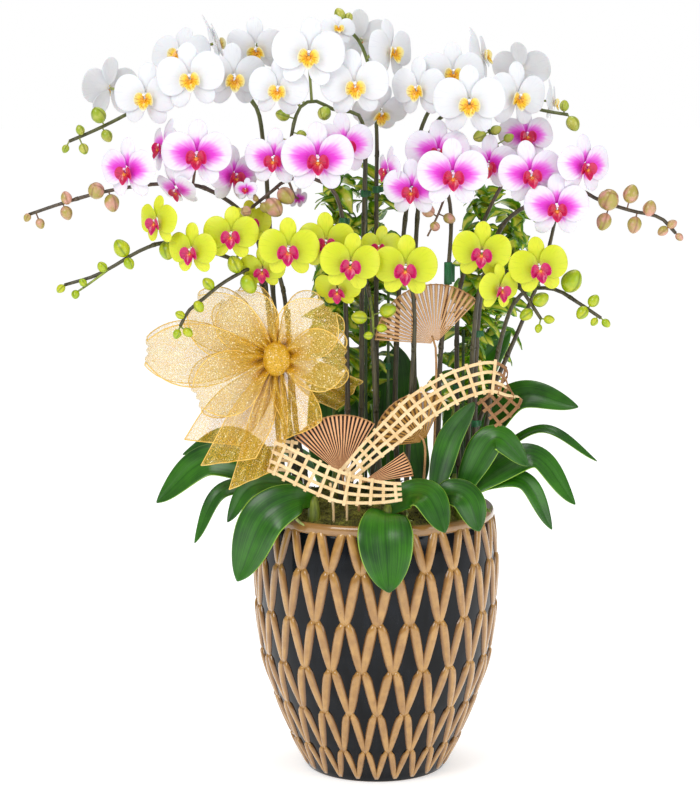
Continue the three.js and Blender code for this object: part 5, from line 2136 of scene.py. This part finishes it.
@dataclass
class Stake(Piece):
    """A thin rod with a clip that holds a stem.

    Attributes:
        name: Its CAD node.
        x: Place to the right, in millimetres.
        y: Place to the back.
        top: Height of its end.
        clip: Height of its clip.
    """

    name: str
    x: float
    y: float
    top: float
    clip: float

    RADIUS = 2
    GRIP = 3.8
    GRIP_TALL = 9

    def model(self, rod: Material, clip: Material) -> Object:
        """Models the rod and its clip, each in its own material."""
        low = MEDIUM_TOP
        tall = (self.top - low) * MM
        shaft = primitive(Start.ROD, self.name, vertices=12, radius=self.RADIUS * MM, depth=tall)
        shaft.data.transform(Matrix.Translation(Vector((self.x, self.y, (self.top + low) / 2)) * MM))
        modified(shaft, "BEVEL", width=0.7 * MM, segments=2)
        sizes = {"vertices": 20, "radius": self.GRIP * MM, "depth": self.GRIP_TALL * MM}
        grip = bevelled(primitive(Start.ROD, "grip", **sizes), 0.9)
        grip.data.transform(Matrix.Translation(Vector((self.x, self.y, self.clip)) * MM))
        parts = [painted(smoothed(shaft), rod), painted(smoothed(grip), clip)]
        return settled(joined(f"{self.name}_rod", parts), Slot.STAKE, self.name)


SPRAYS = [
    Spray(
        "white_spray_left", Kind.WHITE,
        spike=[
            [-105, 10, 400], [-125, 5, 510], [-140, 0, 650], [-146, -5, 765], [-152, -8, 855],
            [-165, -10, 915], [-205, -15, 938], [-255, -18, 935], [-305, -22, 918], [-335, -30, 900],
            [-375, -35, 880], [-410, -40, 865],
        ],
        blooms=[
            [-305, -60, 925, -12, 0, 0, 90], [-245, -78, 950, -5, 2, -8, 94],
            [-190, -48, 950, 12, -5, 0, 90], [-360, 10, 935, -150, 5, 0, 86],
            [-265, 10, 980, -20, 25, 0, 88], [-218, 14, 995, 100, 20, 0, 84],
        ],
        buds=[
            [-370, -45, 900, 20], [-395, -40, 880, 12], [-360, -35, 872, 15], [-390, -45, 855, 13],
            [-415, -40, 855, 10],
        ],
    ),
    Spray(
        "white_spray_centre", Kind.WHITE,
        spike=[
            [-35, -8, 400], [-22, -12, 475], [-20, -18, 650], [-17, -28, 785], [-17, -35, 875],
            [-25, -40, 900], [-60, -45, 908], [-80, -48, 918], [-97, -50, 915], [-107, -55, 900],
            [-115, -60, 865],
        ],
        blooms=[
            [-130, -78, 935, -6, 0, 6, 82], [-90, -92, 980, 3, 4, 4, 98], [-160, -25, 990, -10, -30, 0, 84],
            [-30, -76, 940, 4, 0, -4, 94],
        ],
        buds=[
            [-70, -62, 902, 18], [-125, -58, 900, 16], [-100, -60, 875, 11], [-130, -60, 870, 9],
            [-135, -62, 860, 8], [-115, -62, 855, 7],
        ],
    ),
    Spray(
        "white_spray_back", Kind.WHITE,
        spike=[
            [-5, 30, 400], [0, 30, 470], [0, 26, 645], [0, 22, 785], [0, 20, 880], [-6, 24, 945],
            [-22, 28, 995], [-42, 24, 1018],
        ],
        blooms=[
            [-20, 66, 1000, 170, 10, 0, 88], [-52, 10, 1014, 10, 30, 0, 50], [18, -8, 985, 45, 5, 0, 86],
            [5, -12, 905, 15, -35, 0, 80],
        ],
        buds=[[-50, 30, 1034, 15], [-38, 34, 1030, 12]],
    ),
    Spray(
        "white_spray_mid_right", Kind.WHITE,
        spike=[
            [30, 5, 400], [26, 5, 485], [30, 0, 650], [40, -5, 770], [55, -10, 865], [70, -14, 905],
            [90, -16, 930], [122, -22, 925], [142, -36, 892], [160, -46, 858],
        ],
        blooms=[
            [55, -52, 935, -30, 0, 0, 84], [100, -40, 955, 5, 12, 0, 88], [140, 14, 980, 70, 15, 0, 80],
        ],
        buds=[
            [136, -48, 872, 16], [158, -40, 880, 13], [175, -46, 870, 12], [150, -50, 862, 8],
            [170, -50, 852, 9], [160, -50, 846, 8],
        ],
    ),
    Spray(
        "white_spray_right", Kind.WHITE,
        spike=[
            [60, 45, 400], [55, 40, 480], [52, 34, 645], [58, 26, 785], [68, 18, 865], [92, 10, 900],
            [140, 6, 915], [185, 2, 915], [225, -12, 905], [255, -24, 900],
        ],
        blooms=[
            [120, -86, 918, -2, 0, 0, 98], [185, -46, 925, 28, 0, 4, 92], [198, 42, 960, 160, 20, 0, 84],
            [236, 8, 918, 75, 0, 0, 60],
        ],
        buds=[[250, -26, 912, 13], [262, -26, 888, 18]],
    ),
    Spray(
        "pink_spray_left", Kind.PINK,
        spike=[
            [-110, -20, 400], [-133, -25, 515], [-148, -35, 655], [-160, -45, 735], [-180, -58, 772],
            [-215, -68, 798], [-240, -72, 808], [-290, -75, 810], [-360, -78, 800], [-415, -80, 785],
            [-460, -80, 770],
        ],
        blooms=[
            [-325, -112, 830, -28, 0, 0, 86], [-235, -118, 850, 0, 5, 0, 94],
            [-282, -62, 858, -60, 10, 0, 80], [-262, -100, 806, -40, -35, 0, 66],
            [-190, -78, 822, 35, 0, 0, 80],
        ],
        buds=[
            [-370, -85, 802, 22], [-350, -80, 785, 20], [-410, -80, 792, 15], [-410, -80, 772, 16],
            [-445, -80, 758, 12], [-462, -80, 766, 10],
        ],
    ),
    Spray(
        "pink_spray_mid_left", Kind.PINK,
        spike=[
            [-48, -36, 400], [-40, -40, 480], [-42, -46, 655], [-46, -58, 765], [-60, -68, 803],
            [-90, -74, 818], [-120, -80, 815], [-140, -85, 800], [-165, -90, 780],
        ],
        blooms=[
            [-135, -108, 845, -10, 0, 0, 80], [-78, -124, 845, 3, 3, 0, 98], [-44, -84, 862, 20, 5, 0, 86],
            [-172, -98, 804, -15, 10, 0, 32], [-105, -60, 790, 150, -20, 0, 30],
        ],
        buds=[
            [-120, -92, 795, 22], [-136, -96, 780, 24], [-147, -96, 780, 14], [-160, -94, 792, 8],
            [-172, -112, 776, 14],
        ],
    ),
    Spray(
        "pink_spray_mid_right", Kind.PINK,
        spike=[
            [80, -30, 400], [84, -30, 480], [86, -40, 575], [94, -50, 675], [98, -58, 770], [90, -68, 802],
            [65, -74, 815], [32, -76, 820],
        ],
        blooms=[
            [15, -84, 828, -65, 0, 0, 66], [45, -108, 805, -14, -4, 0, 80], [80, -72, 852, 5, 8, 0, 88],
            [97, -126, 825, 3, 0, 0, 96],
        ],
        buds=[[66, -92, 776, 17], [95, -84, 765, 14], [76, -92, 755, 13]],
        twigs=[[[92, -66, 800], [80, -84, 770], [66, -90, 742]]],
    ),
    Spray(
        "pink_spray_right_back", Kind.PINK,
        spike=[
            [115, 10, 400], [112, 8, 470], [112, -14, 660], [122, -20, 700], [140, -32, 750],
            [160, -42, 795], [180, -48, 825], [215, -44, 838],
        ],
        blooms=[
            [200, -98, 825, 6, 0, -8, 88], [148, -60, 836, -10, -8, 0, 78], [200, -20, 872, 10, 18, 0, 78],
        ],
    ),
    Spray(
        "pink_spray_right", Kind.PINK,
        spike=[
            [134, -20, 400], [134, -20, 475], [136, -30, 610], [146, -42, 695], [170, -56, 758],
            [205, -64, 785], [230, -66, 800], [260, -68, 805], [295, -70, 788], [335, -75, 775],
            [375, -75, 765], [395, -75, 745],
        ],
        blooms=[[270, -100, 835, 30, 0, 0, 84]],
        buds=[
            [305, -80, 790, 28], [335, -75, 797, 21], [300, -72, 760, 20], [340, -76, 756, 19],
            [360, -75, 778, 18], [390, -75, 757, 12], [378, -75, 748, 13], [400, -75, 740, 10],
        ],
    ),
    Spray(
        "pink_spray_far_right", Kind.PINK,
        spike=[
            [128, 36, 400], [140, 24, 470], [165, 0, 540], [196, -25, 620], [222, -50, 695],
            [232, -62, 740], [236, -72, 765],
        ],
        blooms=[[234, -109, 782, 0, 0, 0, 88]],
    ),
    Spray(
        "yellow_spray_left", Kind.YELLOW,
        spike=[
            [-125, -50, 400], [-134, -55, 490], [-140, -60, 610], [-152, -74, 675], [-175, -90, 703],
            [-215, -100, 722], [-250, -105, 733], [-280, -106, 735], [-310, -110, 725], [-350, -114, 702],
            [-370, -115, 692], [-410, -115, 680],
        ],
        blooms=[
            [-285, -136, 765, -40, 0, 0, 68], [-240, -144, 728, -25, 0, 0, 72],
            [-190, -138, 748, -3, 3, 0, 74], [-168, -74, 760, 12, 8, 0, 60],
        ],
        buds=[
            [-275, -112, 725, 22], [-335, -112, 728, 21], [-325, -115, 708, 14], [-360, -118, 704, 13],
            [-415, -115, 675, 11], [-395, -122, 668, 11], [-385, -122, 684, 10],
        ],
        twigs=[[[-350, -114, 702], [-380, -120, 680], [-395, -120, 670]]],
    ),
    Spray(
        "yellow_spray_low_left", Kind.YELLOW,
        spike=[
            [-95, -38, 400], [-108, -42, 475], [-118, -52, 600], [-126, -76, 675], [-140, -94, 710],
            [-172, -120, 700], [-205, -138, 682], [-225, -148, 666], [-245, -154, 650], [-256, -156, 630],
        ],
        blooms=[[-115, -150, 730, -4, 0, 0, 82], [-150, -120, 702, -10, -20, 0, 62]],
        buds=[
            [-186, -126, 708, 20], [-168, -124, 682, 22], [-220, -142, 684, 15], [-232, -150, 655, 14],
            [-256, -156, 645, 11], [-260, -158, 620, 11], [-246, -156, 622, 12],
        ],
    ),
    Spray(
        "yellow_spray_mid_left", Kind.YELLOW,
        spike=[
            [5, -55, 400], [0, -56, 480], [-5, -60, 590], [-10, -70, 660], [-20, -84, 695], [-40, -94, 713],
            [-65, -100, 720],
        ],
        blooms=[
            [-67, -134, 738, 0, 3, 0, 78], [-36, -156, 712, 5, 0, 6, 80], [-52, -118, 676, -12, -25, 0, 64],
        ],
        buds=[[-24, -102, 636, 18], [14, -98, 645, 19], [6, -104, 622, 12], [-12, -104, 612, 11]],
        twigs=[[[-10, -70, 660], [-6, -94, 636], [-5, -100, 612]]],
    ),
    Spray(
        "yellow_spray_mid_right", Kind.YELLOW,
        spike=[
            [40, -60, 400], [44, -64, 485], [46, -70, 540], [50, -80, 630], [46, -90, 670], [38, -100, 695],
        ],
        blooms=[[36, -138, 705, -2, 0, 0, 86], [4, -96, 728, -20, 12, 0, 60]],
    ),
    Spray(
        "yellow_spray_right", Kind.YELLOW,
        spike=[
            [120, -50, 400], [124, -50, 480], [130, -60, 610], [136, -80, 670], [150, -92, 700],
            [172, -100, 695], [195, -105, 665], [215, -108, 635],
        ],
        blooms=[[135, -132, 725, 0, 0, 6, 80], [158, -136, 678, 35, -5, 0, 66]],
        buds=[[215, -106, 660, 19], [196, -106, 640, 16], [226, -110, 634, 12], [212, -110, 622, 10]],
    ),
    Spray(
        "yellow_spray_far_right", Kind.YELLOW,
        spike=[
            [138, 6, 400], [150, -8, 475], [160, -26, 555], [172, -50, 620], [184, -74, 655],
            [202, -88, 672], [235, -94, 672], [265, -99, 655], [295, -100, 635],
        ],
        blooms=[[210, -128, 705, 5, 0, -10, 80]],
        buds=[
            [256, -100, 684, 27], [285, -102, 658, 15], [270, -102, 642, 16], [286, -102, 630, 10],
            [302, -100, 628, 11],
        ],
    ),
]

ROSETTES = [
    Rosette(
        "leaves_left", [-126, -14],
        [
            Blade([[-165, -24, 418], [-232, -32, 436], [-300, -36, 375]], 60, [-0.2, -0.6, 0.8]),
            Blade([[-150, 8, 425], [-205, 20, 462], [-268, 22, 432]], 46, [0, -0.4, 0.9]),
            Blade([[-160, -44, 402], [-212, -64, 396], [-246, -72, 326]], 26, [-0.5, -0.8, 0.5]),
            Blade([[-150, 42, 420], [-200, 82, 440], [-250, 120, 385]], 48, [0, 0, 1]),
        ],
    ),
    Rosette(
        "leaves_front_left", [-84, -100],
        [
            Blade([[-104, -122, 398], [-148, -136, 378], [-186, -128, 286]], 62, [-0.3, -1, 0.35]),
            Blade([[-122, -94, 412], [-170, -92, 408], [-200, -98, 360]], 34, [-0.4, -0.8, 0.6]),
        ],
    ),
    Rosette(
        "leaves_front", [14, -122],
        [
            Blade([[11, -152, 384], [10, -180, 362], [15, -191, 285]], 72, [0, -1, 0.6]),
            Blade([[44, -136, 408], [66, -156, 408], [88, -178, 362]], 48, [0.1, -0.8, 0.7]),
        ],
        top=386,
    ),
    Rosette(
        "leaves_front_right", [76, -108],
        [
            Blade([[98, -124, 408], [118, -136, 402], [134, -150, 358]], 46, [0.2, -0.8, 0.6]),
            Blade([[84, -100, 430], [98, -92, 475], [130, -90, 522]], 34, [-0.2, -1, 0]),
        ],
    ),
    Rosette(
        "leaves_right", [112, -80],
        [
            Blade([[150, -72, 412], [198, -74, 414], [236, -78, 346]], 32, [0.2, -0.7, 0.7]),
            Blade([[148, -72, 418], [212, -56, 446], [270, -50, 375]], 50, [0.1, -0.5, 0.8]),
            Blade([[128, -84, 432], [158, -90, 476], [202, -96, 436]], 42, [0, -0.8, 0.6]),
        ],
    ),
    Rosette(
        "leaves_far_right", [112, 68],
        [
            Blade([[158, 60, 420], [232, 36, 468], [305, 6, 425]], 22, [0, -0.4, 0.9]),
            Blade([[138, 70, 440], [200, 60, 512], [282, 46, 495]], 54, [-0.3, -0.7, 0.7]),
            Blade([[118, 84, 450], [146, 92, 545], [190, 92, 597]], 58, [-0.1, -1, 0.1]),
            Blade([[140, 100, 418], [180, 140, 425], [215, 170, 370]], 48, [0, 0, 1]),
        ],
    ),
    Rosette(
        "leaves_middle", [60, -6],
        [
            Blade([[58, -8, 420], [54, -8, 450], [62, -6, 490]], 34, [0, -1, 0.1]),
        ],
    ),
    Rosette(
        "leaves_back", [22, 84],
        [
            Blade([[28, 82, 420], [30, 84, 500], [30, 92, 576]], 70, [0, -1, 0.1]),
            Blade([[-2, 92, 430], [-24, 98, 480], [-38, 100, 542]], 58, [0.1, -1, 0.1]),
            Blade([[20, 118, 412], [14, 170, 420], [10, 215, 350]], 60, [0, 0.4, 1]),
        ],
    ),
    Rosette(
        "leaves_back_left", [-70, 82],
        [
            Blade([[-72, 82, 420], [-68, 84, 475], [-78, 88, 542]], 56, [0, -1, 0.1]),
            Blade([[-100, 110, 415], [-150, 150, 425], [-190, 170, 360]], 54, [-0.2, 0.2, 1]),
            Blade([[-70, 122, 412], [-70, 165, 410], [-60, 200, 330]], 52, [0, 0.5, 1]),
        ],
    ),
]

FANS = [
    Fan("fan_tall", [78, -61, 596], 80, 46, 176, 24, [76, -58]),
    Fan("fan_low", [-46, -104, 426], 80, 58, 142, 20, [-42, -96]),
    Fan("fan_back", [63, -85, 467], 66, 66, 186, 16, [62, -84]),
    Fan("fan_small", [-22, -112, 416], 70, 8, 36, 8, [-24, -106]),
]
LATTICES = [
    Lattice(
        name="lattice_low",
        path=[
            [-108, -106, 450], [-132, -114, 454], [-140, -126, 455], [-125, -136, 450], [-100, -139, 438],
            [-75, -141, 426], [-45, -142, 415], [-10, -142, 410], [14, -142, 409], [32, -142, 410],
        ],
        side=[0.25, 0.1, 1],
        leg=[[-62, -141.5, 421], [-60, -128, 400], [-58, -120, 384]],
        crossings=14,
        narrow=(0.0, 0.45),
    ),
    Lattice(
        name="lattice_high",
        path=[
            [-42, -127, 428], [-8, -126, 462], [30, -125, 496],
            [55, -122, 518], [80, -120, 534], [100, -118, 545],
            [125, -115, 554], [150, -110, 558], [167, -102, 551],
            [176, -92, 536], [165, -84, 518], [146, -78, 502],
        ],
        side=[-0.45, 0, 1],
        leg=[[-41, -127, 429], [-40, -125, 405], [-40, -123, 384]],
        crossings=21,
        narrow=(0.5, 0.0),
    ),
]
STAKES = [
    Stake("stake_left", -118, -34, 640, 600),
    Stake("stake_middle", -14, 10, 870, 690),
    Stake("stake_mid_right", 16, -14, 700, 560),
    Stake("stake_right", 118, -12, 610, 470),
]
ROOTS = [
    Root([[-96, -104, 384], [-108, -118, 378], [-106, -134, 371], [-96, -140, 364]]),
    Root([[34, -112, 384], [40, -128, 376], [34, -140, 370], [46, -146, 372]]),
    Root([[118, -70, 380], [134, -76, 384], [146, -84, 376], [152, -96, 374]]),
]
CLIPS = [
    Clip("white_spray_centre", 795, 9),
    Clip("white_spray_back", 798, 9),
    Clip("pink_spray_mid_left", 760, 9),
    Clip("pink_spray_mid_right", 690, 30),
    Clip("pink_spray_right", 606, 9),
    Clip("pink_spray_right", 482, 9),
    Clip("pink_spray_right_back", 528, 9),
]
SPRIGS = [
    Sprig("filler_left", [[-58, 34, 400], [-58, 50, 560], [-56, 62, 690], [-54, 66, 812]], 38),
    Sprig("filler_middle", [[-18, 62, 400], [-8, 66, 600], [-2, 68, 700], [-2, 66, 812]], 39),
    Sprig("filler_right", [[94, 44, 400], [110, 52, 500], [138, 60, 640], [150, 62, 790]], 40),
    Sprig("filler_far_right", [[90, 102, 400], [132, 132, 520], [184, 126, 640], [200, 110, 765]], 41),
]


@dataclass
class Studio:
    """The camera, the lights, the sky and the floor."""

    camera_place: Sequence[float] = (-0.036, -3.1, 0.95)
    camera_tilt: float = 82.1
    lens: float = 104.4
    sensor: float = 36
    heart: Sequence[float] = (0, 0, 0.55)
    sky_soft: float = 0.66
    sky_shine: float = 0.22
    floor_glow: float = 0.42

    def add_camera(self) -> None:
        """Sets the camera at the photograph's view."""
        data = bpy.data.cameras.new("view")
        data.lens = self.lens
        data.sensor_width = self.sensor
        camera = linked("view", data)
        camera.location = self.camera_place
        camera.rotation_euler = (math.radians(self.camera_tilt), 0, 0)
        bpy.context.scene.camera = camera

    def add_light(self, name: str, place: Sequence[float], size: float, power: float) -> None:
        """Adds a soft square light that looks at the flowers.

        Args:
            name: Its name.
            place: Its place in metres.
            size: Its side in metres.
            power: Its power in watts.
        """
        data = bpy.data.lights.new(name, "AREA")
        data.shape = "SQUARE"
        data.size = size
        data.energy = power
        lamp = linked(name, data)
        lamp.location = place
        aim = Vector(self.heart) - Vector(place)
        lamp.rotation_euler = aim.to_track_quat("-Z", "Y").to_euler()

    def add_sky(self) -> None:
        """Lights the scene evenly from a sky that shines softly and shows as white."""
        world = bpy.data.worlds.new("sky")
        world.use_nodes = True
        tree = world.node_tree
        tree.nodes.clear()
        out = tree.nodes.new("ShaderNodeOutputWorld")
        rays = tree.nodes.new("ShaderNodeLightPath")

        def background(strength: float) -> Socket:
            """Adds an even white background."""
            made = tree.nodes.new("ShaderNodeBackground")
            made.inputs["Color"].default_value = (1, 1, 1, 1)
            made.inputs["Strength"].default_value = strength
            return made.outputs[0]

        def chosen(ray: str, other: Socket, own: Socket) -> Socket:
            """Shows one background to one kind of ray and another to the rest."""
            made = tree.nodes.new("ShaderNodeMixShader")
            for socket, source in zip(made.inputs, (rays.outputs[ray], other, own)):
                tree.links.new(source, socket)
            return made.outputs[0]

        light = chosen("Is Glossy Ray", background(self.sky_soft), background(self.sky_shine))
        tree.links.new(chosen("Is Camera Ray", light, background(1.0)), out.inputs[0])
        bpy.context.scene.world = world

    def add_floor(self) -> None:
        """Lays a plain pale floor."""
        floor = primitive(Start.HOOP, "floor", vertices=96, radius=40, fill_type="NGON")
        shade = Shade("pale_floor", Roughness=0.9, Specular_IOR_Level=0.1)
        shade.feed("Emission Strength", self.floor_glow)
        shade.feed("Emission Color", WHITE)
        cloud = shade.noise(shade.place(), 3, 2)
        shade.feed("Base Color", shade.blend(cloud, rgb(246, 246, 246), rgb(250, 250, 250)))
        painted(floor, shade.material)

    def build(self) -> None:
        """Builds the studio."""
        self.add_camera()
        self.add_light("key", (-1.6, -2.4, 2.6), 1.6, 46)
        self.add_light("fill", (2.2, -2.0, 1.4), 1.8, 22)
        self.add_light("top", (0.2, 0.8, 3.0), 1.4, 20)
        self.add_sky()
        self.add_floor()
        scene = bpy.context.scene
        scene.view_settings.view_transform = "Standard"
        scene.view_settings.look = "None"


def dress_mix(nodes: dict[str, Object]) -> None:
    """Gives the potting mix, which keeps its CAD solid, a bark finish."""
    painted(nodes["growing_medium"], BARK.material())


def build() -> None:
    """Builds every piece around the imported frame."""
    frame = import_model()
    Studio().build()
    dress_mix(frame["nodes"])
    Pot().model(DarkGlaze().material(), TanGlaze().material())
    Moss().model(MOSS.material())
    patterns = {}
    buds = {}
    for kind, finish in PETALS.items():
        skins = FlowerSkins(finish)
        grown = 1.35 if kind is Kind.YELLOW else 1.15
        patterns[kind] = [Bloom(skins, seed, grown).model() for seed in (1, 2, 3)]
        buds[kind] = Bud(BUDS[kind].material()).model()
    spikes = {kind: finish.material() for kind, finish in SPIKES.items()}
    stalks = {kind: finish.material() for kind, finish in STALKS.items()}
    for spray in SPRAYS:
        spray.model(patterns[spray.kind], buds[spray.kind], spikes[spray.kind], stalks[spray.kind])
    for kind in Kind:
        removed(*patterns[kind], buds[kind])
    leaf = ORCHID_LEAF.material()
    for rosette in ROSETTES:
        rosette.model(leaf, stalks[Kind.YELLOW])
    filler = FILLER_LEAF.material()
    for sprig in SPRIGS:
        sprig.model(filler, stalks[Kind.YELLOW])
    Bow().model(RibbonFinish().material(), GOLD_WIRE.material())
    stick = FAN_STICK.material()
    fans = {"fan_low": RED_FAN, "fan_small": RED_FAN, "fan_back": GOLD_FAN}
    for fan in FANS:
        fan.model(fans.get(fan.name, PALE_FAN).material(), stick)
    # inner is the darker bamboo: painted shade for the turned-back part of each band.
    bamboo, inner = BAMBOO.material(), BAMBOO_PAINTED_SHADE.material()
    for lattice in LATTICES:
        lattice.model(bamboo, inner)
    rod, clip = ROD_COAT.material(), CLIP_COAT.material()
    for stake in STAKES:
        stake.model(rod, clip)
    for root in ROOTS:
        root.model(stalks[Kind.WHITE])
    for each in CLIPS:
        each.model(clip)


if __name__ == "__main__":
    logging.basicConfig(level=logging.INFO, format="%(name)s: %(message)s")
    build()
